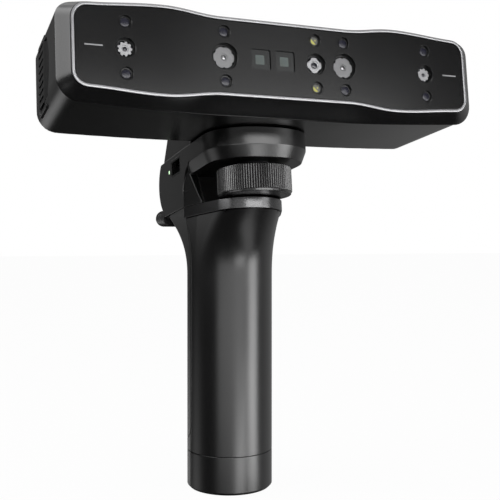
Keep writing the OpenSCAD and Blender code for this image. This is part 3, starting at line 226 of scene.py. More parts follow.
def settle(obj, where, body, slot, paints, *nodes, angle=38.0):
    """Takes a finished piece into the model's frame, gives it its finish and lets it ride on a body."""
    only(obj)
    bpy.ops.object.shade_smooth_by_angle(angle=radians(angle))
    mod = obj.modifiers.new("normals", "WEIGHTED_NORMAL")
    mod.keep_sharp = True
    bpy.ops.object.modifier_apply(modifier=mod.name)
    obj.data.transform(Matrix.Scale(MM, 4) @ where)
    for paint in paints if isinstance(paints, list) else [paints]:
        if paint.material.name not in obj.data.materials:
            obj.data.materials.append(paint.material)
    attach(obj, body)
    if nodes:
        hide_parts(*nodes)


# Materials
class Value:
    """Something that changes over a surface. Python's operators on it add Math nodes."""

    def __init__(self, paint, socket):
        self.paint, self.socket = paint, socket

    def math(self, operation, other, turn=False):
        pair = (other, self) if turn else (self, other)
        return self.paint.node("Math", {"operation": operation}, {0: pair[0], 1: pair[1]})

    def __add__(self, other):
        return self.math("ADD", other)

    def __sub__(self, other):
        return self.math("SUBTRACT", other)

    def __mul__(self, other):
        return self.math("MULTIPLY", other)

    def __truediv__(self, other):
        return self.math("DIVIDE", other)

    def __radd__(self, other):
        return self.math("ADD", other, True)

    def __rsub__(self, other):
        return self.math("SUBTRACT", other, True)

    def __rmul__(self, other):
        return self.math("MULTIPLY", other, True)

    def __rtruediv__(self, other):
        return self.math("DIVIDE", other, True)

    def over(self, low, high):
        """0 below low, 1 above high, and even between."""
        return self.paint.node("MapRange", {"clamp": True}, {0: self, 1: low, 2: high, 3: 0.0, 4: 1.0})


class Nodes:
    """A node tree to which nodes are added by their types."""

    def __init__(self, tree):
        self.tree = tree

    def link(self, value, socket):
        self.tree.links.new(value.socket, socket)

    def node(self, kind, settings=None, inputs=None, out=0):
        """A node, from its type, its settings and its inputs, as the value of one of its outputs."""
        made = self.tree.nodes.new("ShaderNode" + kind)
        for key, value in (settings or {}).items():
            setattr(made, key, value)
        for key, value in (inputs or {}).items():
            if isinstance(value, Value):
                self.link(value, made.inputs[key])
            else:
                made.inputs[key].default_value = value
        return Value(self, made.outputs[out])


class Paint(Nodes):
    """One material: a Principled surface whose sockets take constants or values."""

    def __init__(self, name, colour, roughness, metallic=0.0, **constants):
        self.material = bpy.data.materials.new(name)
        self.material.use_nodes = True
        super().__init__(self.material.node_tree)
        self.surface = self.tree.nodes["Principled BSDF"]
        self.set("Base Color", colour + (1.0,))
        self.set("Roughness", roughness)
        self.set("Metallic", metallic)
        for key, value in constants.items():
            self.set(key.replace("_", " "), value)
        self.spot = self.node("TexCoord", out="Object")

    def set(self, socket, value):
        """Sets a socket of the surface, or links a value to it."""
        if isinstance(value, Value):
            self.link(value, self.surface.inputs[socket])
        else:
            self.surface.inputs[socket].default_value = value

    def noise(self, scale, detail, rough, stretch=None):
        """Even noise from 0 to 1, with its grain in metres."""
        spot = self.node("Mapping", None, {0: self.spot, 3: stretch}) if stretch else self.spot
        return self.node("TexNoise", None, {"Vector": spot, "Scale": scale, "Detail": detail, "Roughness": rough})

    def mix(self, a, b, share):
        """A colour between two colours."""
        full = [c if isinstance(c, Value) else tuple(c) + (1.0,) for c in (a, b)]
        return self.node("Mix", {"data_type": "RGBA"}, {0: share, 6: full[0], 7: full[1]}, out=2)

    def bump(self, height, strength, depth):
        """Raises the surface by a height, at most by a depth in metres."""
        inputs = {"Strength": strength, "Distance": depth, "Height": height}
        self.set("Normal", self.node("Bump", None, inputs))


def moulded(name, colour, roughness, grain=0.00025, spread=0.25, depth=0.00002, metallic=0.0, **constants):
    """Moulded or painted plastic: a fine grain, slow changes of sheen and a little change of shade."""
    paint = Paint(name, colour, roughness, metallic, **constants)
    fine = paint.noise(1 / grain, 3.0, 0.6)
    slow = paint.noise(18.0, 2.0, 0.5)
    lighter = tuple(c * (1 + spread) for c in colour)
    darker = tuple(c * (1 - spread) for c in colour)
    paint.set("Base Color", paint.mix(darker, lighter, fine * 0.6 + slow * 0.4))
    paint.set("Roughness", fine * 0.08 + slow * 0.1 + (roughness - 0.09))
    paint.bump(fine, 0.35, depth)
    return paint


def metal(name, colour, roughness, grain=(1.0, 1.0, 1.0), scale=3000.0):
    """Metal with fine tool marks along the directions where the grain is stretched."""
    paint = Paint(name, colour, roughness, 1.0)
    marks = paint.noise(scale, 3.0, 0.7, grain)
    slow = paint.noise(60.0, 2.0, 0.5)
    paint.set("Base Color", paint.mix(tuple(c * 0.82 for c in colour), colour, marks * 0.7 + slow * 0.3))
    paint.set("Roughness", marks * 0.16 + slow * 0.06 + (roughness - 0.11))
    paint.bump(marks, 0.25, 0.00001)
    return paint


def circuit(name, colour):
    """A circuit board: solder mask over tracks, with small bright pads."""
    mask = 0.45
    paint = Paint(name, colour, mask)
    upright = paint.node("Mapping", None, {0: paint.spot, 2: (radians(90), 0, 0)})
    cells = paint.node("TexBrick", {"offset": 0.5}, {
        "Vector": upright, "Scale": 260.0, "Mortar Size": 0.06, "Mortar Smooth": 0.1,
        "Brick Width": 0.9, "Row Height": 0.35}, out="Fac")
    dots = paint.node("TexVoronoi", None, {"Vector": paint.spot, "Scale": 420.0}, out="Distance")
    pads = 1.0 - dots.over(0.1, 0.16)
    tracks = paint.mix(colour, tuple(min(1.0, c * 1.9) for c in colour), cells)
    paint.set("Base Color", paint.mix(tracks, (0.62, 0.5, 0.28), pads))
    paint.set("Metallic", pads)
    paint.set("Roughness", mask - pads * 0.15)
    paint.bump(cells * 0.6 + pads, 0.5, 0.00004)
    return paint


# Plastics that mirror strongly share one gloss and, most of them, one deep black
GLOSS = {"Specular_IOR_Level": 1.0}
DEEP = (0.003, 0.003, 0.0032)
SOFT = (0.006, 0.006, 0.0062)
HOUSING_BLACK = moulded("housing_black", DEEP, 0.3, **GLOSS)
COVER_BLACK = moulded("cover_black", DEEP, 0.24, **GLOSS)
PANEL_BLACK = moulded("panel_black", (0.005, 0.005, 0.0052), 0.2, grain=0.0006, spread=0.1, depth=0.000004,
                      Specular_IOR_Level=0.42)
GRILLE_BLACK = moulded("grille_black", (0.004, 0.004, 0.0042), 0.4)
HANDLE_BLACK = moulded("handle_black", DEEP, 0.3, **GLOSS)
GRIP_BLACK = moulded("grip_black", DEEP, 0.31, grain=0.0002, **GLOSS)
BAND_GREY = moulded("band_grey", (0.14, 0.14, 0.142), 0.28, grain=0.0002, metallic=1.0)
WHEEL_BLACK = moulded("wheel_black", DEEP, 0.26, grain=0.0002, **GLOSS)
LEVER_BLACK = moulded("lever_black", SOFT, 0.35, **GLOSS)
CUP_BLACK = moulded("cup_black", SOFT, 0.5)
RUBBER = moulded("pad_rubber", (0.004, 0.004, 0.004), 0.85, grain=0.0008, depth=0.00006)
RIM_BRIGHT = metal("rim_bright", (0.4, 0.4, 0.41), 0.34, (0.05, 1.0, 1.0), 2500.0)
BARREL_SILVER = metal("barrel_silver", (0.42, 0.42, 0.43), 0.42)
BARREL_GREY = metal("barrel_grey", (0.24, 0.24, 0.245), 0.45)
BALL_BRIGHT = metal("ball_bright", (0.5, 0.5, 0.51), 0.28)
STEEL = metal("plain_steel", (0.45, 0.45, 0.47), 0.33)
ALUMINIUM = metal("sink_aluminium", (0.62, 0.62, 0.64), 0.4, (0.04, 1.0, 1.0))
FRAME_GREY = metal("frame_coated", (0.05, 0.05, 0.052), 0.45)
OXIDE = metal("black_oxide", (0.02, 0.02, 0.021), 0.4)
BRASS = metal("bush_brass", (0.66, 0.5, 0.24), 0.32)
NICKEL = metal("contact_nickel", (0.68, 0.64, 0.52), 0.3)
GREEN_BOARD = circuit("green_board", (0.012, 0.07, 0.03))
BLACK_BOARD = circuit("black_board", (0.01, 0.011, 0.012))
CELL_WRAP = moulded("cell_wrap", (0.02, 0.12, 0.26), 0.3, grain=0.002, spread=0.12)
CRADLE_BLACK = moulded("cradle_black", (0.01, 0.01, 0.01), 0.5)
MARK_GREY = moulded("mark_grey", (0.3, 0.3, 0.31), 0.4, spread=0.05)
INFRARED = moulded("infrared_epoxy", (0.008, 0.008, 0.02), 0.25, grain=0.0006, spread=0.15)
PHOSPHOR = moulded("flash_phosphor", (0.5, 0.48, 0.1), 0.45, grain=0.0003, spread=0.2)
DIE_GREY = moulded("flash_die", (0.12, 0.12, 0.11), 0.35)
WINDOW = {"grain": 0.001, "depth": 0.000002}
WINDOW_GREY = moulded("window_smoked", (0.012, 0.013, 0.013), 0.2, spread=0.08, **WINDOW)
WINDOW_LIT = moulded("window_lit", (0.065, 0.083, 0.078), 0.35, spread=0.12, **WINDOW)


def coated_glass():
    """Dark lens glass with a violet and green coating seen at a slant."""
    paint = Paint("lens_coated", (0.01, 0.01, 0.014), 0.06, Coat_Weight=1.0)
    slant = paint.node("LayerWeight", None, {"Blend": 0.35}, out="Facing")
    dust = paint.noise(900.0, 3.0, 0.6)
    paint.set("Base Color", paint.mix((0.008, 0.007, 0.018), (0.01, 0.016, 0.015), slant))
    paint.set("Roughness", dust * 0.08 + 0.03)
    return paint


def light_pipe():
    """A milky light pipe that glows white, with a green edge."""
    paint = Paint("status_pipe", (0.7, 0.9, 0.7), 0.3, Emission_Strength=1.0)
    slant = paint.node("LayerWeight", None, {"Blend": 0.5}, out="Facing")
    cloud = paint.noise(2500.0, 2.0, 0.5)
    paint.set("Emission Color", paint.mix((0.8, 1.0, 0.75), (0.2, 0.6, 0.15), slant * 0.7 + cloud * 0.3))
    paint.set("Roughness", cloud * 0.1 + 0.25)
    return paint


LENS_GLASS = coated_glass()
STATUS = light_pipe()


# Outlines of the head
def ease(t):
    """A smooth step from 0 to 1."""
    return (1 - cos(pi * min(1.0, max(0.0, t)))) / 2


def panel_half(x):
    """Half the panel's height at a place along it."""
    u = abs(x)
    swell = PANEL_SWELL * ease((u - SWELL_FROM) / (SWELL_TO - SWELL_FROM))
    fall = PANEL_FALL * ease((u - SWELL_TO) / (PANEL_HALF - SWELL_TO))
    return PANEL_MID + swell - fall


def end_rise(x):
    """How far the head's bottom edge rises towards its ends."""
    run = max(0.0, abs(x) - RISE_FROM) / (HEAD_HALF - LOW_R - RISE_FROM)
    return END_RISE * min(1.0, run) ** 1.5


def cover_low(x):
    """How far the cover reaches down."""
    return HEAD_LOW - end_rise(x)


def body_low(x):
    """How far the housing reaches down. Its ends rise less than the cover's."""
    return HEAD_FLOOR - 0.6 * end_rise(x)


def arc(cx, cz, r, a0, a1, steps=9):
    """Points on a circle between two angles in degrees."""
    angles = [radians(a0 + (a1 - a0) * i / steps) for i in range(steps + 1)]
    return [(cx + r * cos(a), cz + r * sin(a)) for a in angles]


def edge(x0, x1, f):
    """Points along a curve, without its two ends."""
    steps = 72
    places = [x0 + (x1 - x0) * i / steps for i in range(1, steps)]
    return [(x, f(x)) for x in places]


def outline(half, top_r, low_r, up, low):
    """A closed outline with round corners between an upper and a lower curve."""
    xt, xl = half - top_r, half - low_r
    zt, zl = up(xt) - top_r, low(xl) + low_r
    return (arc(xt, zt, top_r, 0, 90) + edge(xt, -xt, up) + arc(-xt, zt, top_r, 90, 180)
            + arc(-xl, zl, low_r, 180, 270) + edge(-xl, xl, low) + arc(xl, zl, low_r, 270, 360))


def panel_outline(grow):
    corner = PANEL_R + grow
    return outline(PANEL_HALF + grow, corner, corner,
                   lambda x: panel_half(x) + grow, lambda x: -panel_half(x) - grow)


def head_outline(grow, low):
    """The head's outline over a lower curve, grown outwards all round."""
    return outline(HEAD_HALF + grow, TOP_R + grow, LOW_R + grow,
                   lambda x: HEAD_TOP + grow, lambda x: -low(x) - grow)


def cover_outline(grow):
    return head_outline(grow, cover_low)


def body_outline(grow):
    return head_outline(grow, body_low)


def between(a, b, share):
    """An outline that lies at a share of the way from one outline to another."""
    return [(p[0] + (q[0] - p[0]) * share, p[1] + (q[1] - p[1]) * share) for p, q in zip(a, b)]


# Head: front
def rounded_square(cx, half, r):
    """A square with round corners, beside the middle of the panel."""
    corner, steps = half - r, 5
    return (arc(cx + corner, corner, r, 0, 90, steps) + arc(cx - corner, corner, r, 90, 180, steps)
            + arc(cx - corner, -corner, r, 180, 270, steps) + arc(cx + corner, -corner, r, 270, 360, steps))


# Cups in the panel: place, radius, radius of the hole in the cup's floor, and depth of that floor
CUPS = (
    [(x, 0.0, 3.85, 3.1, 1.6) for x in (-OUTER_X, OUTER_X)]
    + [(x, 0.0, 5.4, 4.6, 1.6) for x in (-INNER_X, INNER_X)]
    + [(COLOUR_X, 0.0, 4.4, 3.5, 1.6)]
    + [(x, side * LIGHT_Z, 2.6, 1.8, 0.9) for x in LAMP_X + (COLOUR_X,) for side in (-1, 1)])
PROJECTORS = (-11.1, -0.6)
MARK_IN, MARK_L, MARK_H = 74.0, 6.8, 0.55


def make_panel():
    """The dark panel: stepped cups for every camera and lamp, square openings and slots for the level marks."""
    section = [(-0.1, 2.0), (-0.1, 0.15), (-0.25, 0.0)]
    panel = skin("panel", [ring_xz(panel_outline(grow), y) for grow, y in section])
    for x, z, wide, narrow, depth in CUPS:
        mouth, inside = wide + 0.1, wide - 0.25
        profile = [(0, -1), (mouth, -1), (mouth, 0), (inside, 0.4),
                   (inside, depth), (narrow, depth), (narrow, 3), (0, 3)]
        carve(panel, turned("cup", profile, x, z, 48))
    for x in PROJECTORS:
        carve(panel, prism("opening", rounded_square(x, 4.1, 0.7), -1, 3, "Y"))
    for side in (-1, 1):
        x0, x1 = sorted((side * MARK_IN, side * (MARK_IN + MARK_L)))
        carve(panel, block("slot", (x0 - 0.05, -1, -0.33), (x1 + 0.05, 0.45, 0.33)))
    soften(panel, 0.05, 2, 30)
    settle(panel, HEAD, "scanner", "panel", PANEL_BLACK, "front_panel")


def make_marks():
    """The level marks: a thin bar in each of the panel's two slots."""
    bars = []
    for side in (-1, 1):
        bar = add("mark", bpy.ops.mesh.primitive_cube_add, size=1)
        middle = Matrix.Translation((side * (MARK_IN + MARK_L / 2), 0.2, 0))
        bar.data.transform(middle @ Matrix.Diagonal((MARK_L, 0.4, MARK_H, 1)))
        soften(bar, 0.08, 2)
        bars.append(bar)
    settle(join("level_bars", *bars), HEAD, "scanner", "mark", MARK_GREY, "level_marks")


def make_rim():
    """The bright rim: a rounded strip between the panel and the cover."""
    section = [(1.24, 2.0), (1.24, 0.0), (1.16, -0.2), (0.98, -0.29),
               (0.3, -0.29), (0.1, -0.2), (0.0, 0.0), (0.0, 2.0)]
    rim = skin("panel_rim", [ring_xz(panel_outline(grow), y) for grow, y in section], loop=True)
    settle(rim, HEAD, "scanner", "rim", RIM_BRIGHT, "front_rim")


def make_cover():
    """The sloped cover: an outer crease, a slope to the rim, a ledge for the panel and a lip into the housing."""
    outer, inner = cover_outline(0), panel_outline(1.5)
    land, ledge = panel_outline(1.32), panel_outline(-2.2)
    lip, back = body_outline(-2.5), body_outline(-3.9)
    crease = [(lip, 8.0), (lip, COVER_D), (cover_outline(-0.12), COVER_D), (outer, 5.28), (outer, 5.0)]
    fall = ((0.03, 4.72), (0.08, 4.45), (0.35, 3.3), (0.7, 1.85), (0.96, 0.62))
    slope = [(between(outer, inner, share), y) for share, y in fall]
    inside = [(inner, 0.42), (between(inner, land, 0.6), 0.45), (land, 0.6), (land, 2.0),
              (ledge, 2.0), (ledge, 3.6), (back, 3.6), (back, 8.0)]
    rings = [ring_xz(points, y) for points, y in crease + slope + inside]
    cover = skin("front_slope", rings, loop=True)
    settle(cover, HEAD, "scanner", "cover", COVER_BLACK, "front_cover", angle=50)


# Cameras: radius, radius of the pupil, teeth, their depth, the gaps' share, and the finishes of barrel and lens
CAMERAS = {
    "outer": (2.9, 0.8, 9, 0.5, 0.2, BARREL_SILVER, LENS_GLASS),
    "inner": (4.4, 0.9, 6, 0.5, 0.8, BARREL_GREY, BALL_BRIGHT),
    "colour": (3.3, 1.3, 4, 0.5, 0.3, BARREL_SILVER, LENS_GLASS),
}
BARREL_FRONT, BARREL_STEPS, TOOTH_SLOPE = 1.8, 160, 9.0


def make_barrel(kind, x, place=""):
    """A lens barrel: a toothed ring, a low step and a round pupil with a pale edge."""
    r, pupil, teeth, depth, share, paint = CAMERAS[kind][:-1]

    def gear(shrink, y):
        points = []
        for i in range(BARREL_STEPS):
            a = 2 * pi * i / BARREL_STEPS
            dip = depth / (1 + pow(2.718, (cos(teeth * a) + share) * TOOTH_SLOPE))
            points.append((x + (r - shrink - dip) * cos(a), (r - shrink - dip) * sin(a)))
        return ring_xz(points, BARREL_FRONT + y)

    def plain(radius, y):
        return ring_xz(circle(radius, BARREL_STEPS, x), BARREL_FRONT + y)

    body = r - depth - 0.15
    rings = [ring_xz(circle(body, BARREL_STEPS, x), 10.0)]
    rings += [plain(body, 1.2), gear(0, 1.2), gear(0, 0.12), gear(0.1, 0)]
    step = [(0.62, 0), (0.52, 0.16), (0.22, 0.16), (0.14, 0.04), (0.04, 0.06), (0, 0.25), (0, 3.5)]
    rings += [plain(pupil + wider, y) for wider, y in step]
    barrel = skin(f"{kind}_barrel{place}", rings)
    settle(barrel, HEAD, "scanner", "barrel", paint, f"{kind}_camera{place}", angle=30)


def make_lens(kind, x, place=""):
    """A domed front lens in the barrel's pupil."""
    r, paint = CAMERAS[kind][1] * 0.97, CAMERAS[kind][-1]
    front, dome = BARREL_FRONT + 0.22, 0.35
    rise = [radians(a) for a in (20, 40, 60, 75)]
    profile = [(r, front + 3.0), (r, front + dome)]
    profile += [(r * cos(a), front + dome - dome * sin(a)) for a in rise] + [(0, front)]
    lens = turned(f"{kind}_glass{place}", profile, x, 0.0, 40)
    settle(lens, HEAD, "scanner", "lens", paint, f"{kind}_lens{place}")


def make_lamps():
    """Eight infrared lamps: dark blue discs with soft edges, just inside their cups."""
    domes = []
    profile = [(1.75, 3.2), (1.75, 1.1), (1.7, 0.98), (1.5, 0.92), (1.0, 0.88), (0.5, 0.86), (0, 0.86)]
    for x in LAMP_X:
        for side in (-1, 1):
            domes.append(turned("dome", profile, x, side * LIGHT_Z, 32))
    settle(join("infrared_domes", *domes), HEAD, "scanner", "infrared", INFRARED, "infrared_lamps")


def make_flash():
    """Two flash lamps: a yellow segment and a small square die in a round body."""
    parts = []
    profile = [(1.75, 3.2), (1.75, 1.1), (1.68, 0.98), (1.5, 0.95), (1.45, 1.08), (0, 1.08)]
    for side in (-1, 1):
        z = side * LIGHT_Z
        body = turned("body", profile, COLOUR_X, z, 40)
        body.data.materials.append(DIE_GREY.material)
        yellow = prism("yellow", arc(COLOUR_X, z, 1.42, 150, 300, 15), 0.99, 1.2, "Y")
        yellow.data.materials.append(PHOSPHOR.material)
        square = prism("die", circle(0.42, 4, COLOUR_X + 0.5, z + 0.3), 0.99, 1.2, "Y")
        square.data.materials.append(PHOSPHOR.material)
        soften(square, 0.05, 2)
        parts += [body, yellow, square]
    flash = join("flash_bodies", *parts)
    settle(flash, HEAD, "scanner", "flash", [DIE_GREY, PHOSPHOR], "flash_lamps")


def make_windows():
    """Two smoked windows, each with a small pale square that stands a little proud of it."""
    parts = []
    for x in PROJECTORS:
        pane = prism("pane", rounded_square(x, 4.0, 0.62), 0.6, 2.0, "Y")
        pane.data.materials.append(WINDOW_GREY.material)
        spot = [(px - 0.35, pz - 0.1) for px, pz in rounded_square(x, 1.9, 0.25)]
        lit = prism("lit", spot, 0.52, 1.0, "Y")
        lit.data.materials.append(WINDOW_LIT.material)
        soften(lit, 0.06, 2, 60)
        parts += [pane, lit]
    panes = join("projector_panes", *parts)
    settle(panes, HEAD, "scanner", "window", [WINDOW_GREY, WINDOW_LIT], "projector_windows")


# Head: housing
def housing_ring(y, grow=0.0):
    """The housing's outline at a depth: rounded over at the back, and at its two ends."""
    def taken(r):
        """What an edge rounded to a radius has lost at this depth."""
        into = max(0.0, y - (HEAD_D + grow - r))
        return r - sqrt(max(0.0, r * r - into * into))

    drop = taken(3.0 + grow)
    hx, top, low = HEAD_HALF + grow - taken(1.0), HEAD_TOP + grow - drop, HEAD_FLOOR + grow - drop
    return [(max(-hx, min(hx, x)), y, max(-low, min(top, z))) for x, z in body_outline(grow)]


def vent_outline(grow):
    """A vent's outline, drawn out past both ends of the head: a scoop with a round front, and a plate behind it."""
    reach = 120
    tall, r = SCOOP_H / 2 + grow, SCOOP_R + grow
    span = degrees(asin(tall / r))
    front = arc(SCOOP_FRONT + SCOOP_R, VENT_MID, r, 180 - span, 180 + span, 40)
    corners = [(SCOOP_BACK + 1, VENT_MID - tall), (SCOOP_BACK + 1, VENT_MID + tall)]
    scoop = prism("scoop", front + corners, -reach, reach)
    half = VENT_H / 2 + grow
    y0, y1 = SCOOP_BACK - grow, VENT_BACK + grow
    plate = [(y0 + (y1 - y0) * (a + 1) / 2, VENT_MID + half * b) for a, b in rounded_square(0, 1, 0.12)]
    return carve(scoop, prism("plate", plate, -reach, reach), how="UNION")


def vent_layer(side, high, deep):
    """The space between a vent's face, raised by a height, and a like face that lies deeper."""
    front, back = SCOOP_FRONT - 1, VENT_BACK + 2
    outer, inner = HEAD_HALF + high, HEAD_HALF - deep
    faces = [(outer - SCOOP_DEPTH, front), (outer - 0.35, SCOOP_BACK - 1.6), (outer, SCOOP_BACK), (outer, back),
             (inner, back), (inner, SCOOP_BACK), (inner - SCOOP_DEPTH, front)]
    return prism("layer", [(side * x, y) for x, y in faces], -60, 60, "Z")


def make_housing():
    """The rear housing: a hollow shell rounded over at the back, with a recess and a frame for each vent."""
    start = COVER_D + 0.12
    depths = (start, 20, 38, 50, 54.0, 54.4, 54.8, 55.2, 55.6, 56.0, 56.3, 56.55, 56.75, 56.9, HEAD_D)
    outer = [housing_ring(y) for y in depths]
    inner = [housing_ring(y, -SHELL_WALL) for y in (54.6, 54.5, 54.3, 54.0, 38.0, start)]
    mouth = [ring_xz(body_outline(grow), COVER_D) for grow in (-SHELL_WALL, -0.12)]
    housing = skin("rear_shell", inner + mouth + outer)
    ledge = 1.2
    for side in (-1, 1):
        carve(housing, carve(vent_outline(ledge), vent_layer(side, -0.3, SHELL_WALL), how="INTERSECT"), how="UNION")
        carve(housing, carve(vent_outline(0.05), vent_layer(side, SCOOP_DEPTH + 1, 1.25), how="INTERSECT"))
        x0, x1 = sorted((side * (HEAD_HALF - 9), side * (HEAD_HALF + 1)))
        half = VENT_H / 2 - ledge
        carve(housing, block("through", (x0, 34.1, VENT_MID - half), (x1, VENT_BACK - ledge, VENT_MID + half)))
    carve(housing, rod("hole", 6.0, -30, 0, 48, 0, HEAD_REACH))
    soften(housing, 0.2, 2, 50)
    settle(housing, HEAD, "scanner", "housing", HOUSING_BLACK, "rear_housing", angle=45)


def make_grille(side, place):
    """A scoop that slopes out to a flush plate with nine long slots."""
    solid = skin("solid", [ring_xz(body_outline(0), y) for y in (6, 56)])
    grille = carve(vent_outline(-0.05), vent_layer(side, 0, 1.2), solid, how="INTERSECT")
    for i in range(VENT_SLOTS):
        z = VENT_MID + (i - VENT_SLOTS // 2) * SLOT_PITCH
        ends = arc(SLOT_BACK - 0.65, z, 0.7, -90, 90, 6) + arc(SLOT_FRONT + 0.65, z, 0.7, 90, 270, 6)
        carve(grille, prism("slot", ends, side * HEAD_HALF - 8, side * HEAD_HALF + 8))
    grille.name = f"vent_bars{place}"
    soften(grille, 0.1, 1, 50)
    settle(grille, HEAD, "scanner", "grille", GRILLE_BLACK, f"vent_grille{place}")


# Handle: platform and column
def nose(inset):
    """The platform's rounded front, a squarish half ellipse."""
    a, b, n, steps = NOSE_WIDE - inset, NOSE_LONG - inset, 2 / NOSE_POWER, 72
    points = []
    for i in range(steps + 1):
        u = radians(180 + 180 * i / steps)
        c, s = cos(u), abs(sin(u))
        points.append(((a if c > 0 else -a) * abs(c) ** n, NOSE_LONG + NOSE_TIP - b * s ** n))
    return points


def make_top_housing():
    """Platform, cheeks and column, with soft edges and a wide chamfer inside each cheek's front."""
    top = from_node("top_body", "top_housing", SEAT)
    points = top.data.vertices

    def cheek_front(line):
        """The upright edges at the front of the notch, 17.1 mm to either side."""
        a, b = (points[i].co for i in line.vertices)
        inside = all(16.9 < abs(end.x) < 17.3 for end in (a, b))
        return inside and abs(a.z - b.z) > 3 and max(a.y, b.y) < 24.5

    pick_edges(top, cheek_front)
    bpy.ops.mesh.bevel(offset=1.7, segments=1, affect="EDGES")
    bpy.ops.object.mode_set(mode="OBJECT")
    soften(top, 0.3, 2, 14)
    settle(top, SEAT, "scanner", "handle", HANDLE_BLACK, "top_housing", angle=30)


def make_pad():
    """The rubber pad on the platform: a chamfered sheet with a hole for the screw."""
    plan = nose(3.1) + [(20.3, 16.1), (-20.3, 16.1)]
    shrunk = nose(3.35) + [(20.05, 15.85), (-20.05, 15.85)]
    pad = skin("rubber_pad", [ring_xy(plan, -1.05), ring_xy(plan, 0.45), ring_xy(shrunk, 0.68)])
    carve(pad, rod("bore", 7.1, -5, 5, 48))
    settle(pad, SEAT, "scanner", "pad", RUBBER, "platform_pad")


def dress(name, node, width, steps, slot, paint):
    """A piece at the platform that keeps its CAD shape and gets soft edges."""
    obj = from_node(name, node, SEAT)
    soften(obj, width, steps, 40)
    settle(obj, SEAT, "scanner", slot, paint, node)


# Handle: grip
def flare(z):
    """How far the grip has flared at a height, from 0 to 1."""
    run = (z - FLARE_LOW) / (FLARE_HIGH - FLARE_LOW)
    return 0.0 if run <= 0 else min(1.0, run ** FLARE_POWER)


def mix(a, b, t):
    """A number between two numbers."""
    return a + (b - a) * t


def plan_ring(z, inset):
    """The grip's plan at a height: the hull of seven circles, which are one circle below the flare."""
    t, steps = flare(z), 144
    # At the full flare: one at the front, two at the shoulders, two at the sides and two at the rear corners
    front_r, side_r, rear_r = mix(GRIP_R, 16.9, t), mix(GRIP_R, 3.0, t), mix(GRIP_R, 4.0, t)
    side_x = mix(GRIP_R, NOSE_WIDE, t)
    rear_y = mix(GRIP_R, 33.0, t) - rear_r
    circles = [(0, -18.8 * t, front_r), (17.5 * t, -12.3 * t, side_r), (-17.5 * t, -12.3 * t, side_r),
               (side_x - side_r, -2.2 * t, side_r), (side_r - side_x, -2.2 * t, side_r),
               (side_x - rear_r, rear_y, rear_r), (rear_r - side_x, rear_y, rear_r)]
    points = []
    for i in range(steps):
        a = 2 * pi * (i + 0.5) / steps
        x, y, r = max(circles, key=lambda c: c[0] * cos(a) + c[1] * sin(a) + c[2])
        points.append((x + (r - inset) * cos(a), y + (r - inset) * sin(a), z))
    return points


def grip_tube(name):
    """Both grip shells as one flared tube, with a small chamfer at its foot."""
    curve = [FLARE_LOW + (FLARE_HIGH - FLARE_LOW) * i / FLARE_STEPS for i in range(FLARE_STEPS + 1)]
    levels = [GRIP_LOW, GRIP_LOW + 0.2, 60.0] + curve + [GRIP_HIGH]
    rings = [plan_ring(levels[0], 0.2)] + [plan_ring(z, 0) for z in levels[1:]]
    rings += [plan_ring(z, GRIP_WALL) for z in reversed(levels)]
    return skin(name, rings, loop=True)


def seam_tool(depth):
    """All that lies above a depth under the seat."""
    tool = block("above", (-60, -60, -depth), (60, 90, 60))
    tool.data.transform(SEAT)
    return tool


def rear_tool(grow):
    """The rear shell's region, seen from the side, with its round lower corner."""
    y0, z0, r = -2.5 - grow, 23.0 - grow, 8.0
    corner = arc(y0 + r, z0 + r, r, 180, 270, 12)
    return prism("region", corner + [(90, z0), (90, 200), (y0, 200)], -60, 60, "X")


def make_grip():
    """The two grip shells, cut from one flared tube."""
    front = grip_tube("front_shell")
    carve(front, seam_tool(NOTCH_FLOOR + BAND_H + SEAM), rear_tool(SEAM))
    soften(front, 0.2, 2, 45)
    settle(front, BASE, "scanner", "handle", GRIP_BLACK, "grip_front", angle=40)
    rear = grip_tube("back_shell")
    carve(rear, rear_tool(0), how="INTERSECT")
    slot = block("slot", (-9.8, 17.8, 122.6), (9.8, 38.4, 130.8))
    carve(rear, seam_tool(NOTCH_FLOOR + SEAM), slot)
    soften(rear, 0.2, 2, 45)
    settle(rear, BASE, "scanner", "handle", GRIP_BLACK, "grip_rear", angle=40)


def make_base():
    """The base cap: a chamfered foot, a bore for the bush and two screw holes."""
    foot = [(0, 0), (18.7, 0), (18.85, 0.05), (19.9, 1.1), (20, 1.3), (20, 17.15), (19.85, 17.4)]
    collar = [(17.7, 17.4), (17.7, 22.2), (16.1, 22.2), (16.1, 4.0), (0, 4.0)]
    cap = lathed("foot_cap", foot + collar, 144)
    screws = (-12.8, 12.8)
    carve(cap, rod("post", 9.5, 1, 10, 64), how="UNION")
    for x in screws:
        carve(cap, rod("boss", 3.2, 1, 22.2, 32, x), how="UNION")
    carve(cap, rod("bore", 6.5, -1, 11, 64))
    for x in screws:
        carve(cap, lathed("hole", [(0, -1), (2.5, -1), (2.5, 2.0), (1.4, 2.0), (1.4, 30), (0, 30)], 32, x))
    settle(cap, BASE, "scanner", "handle", GRIP_BLACK, "base_cap", angle=35)


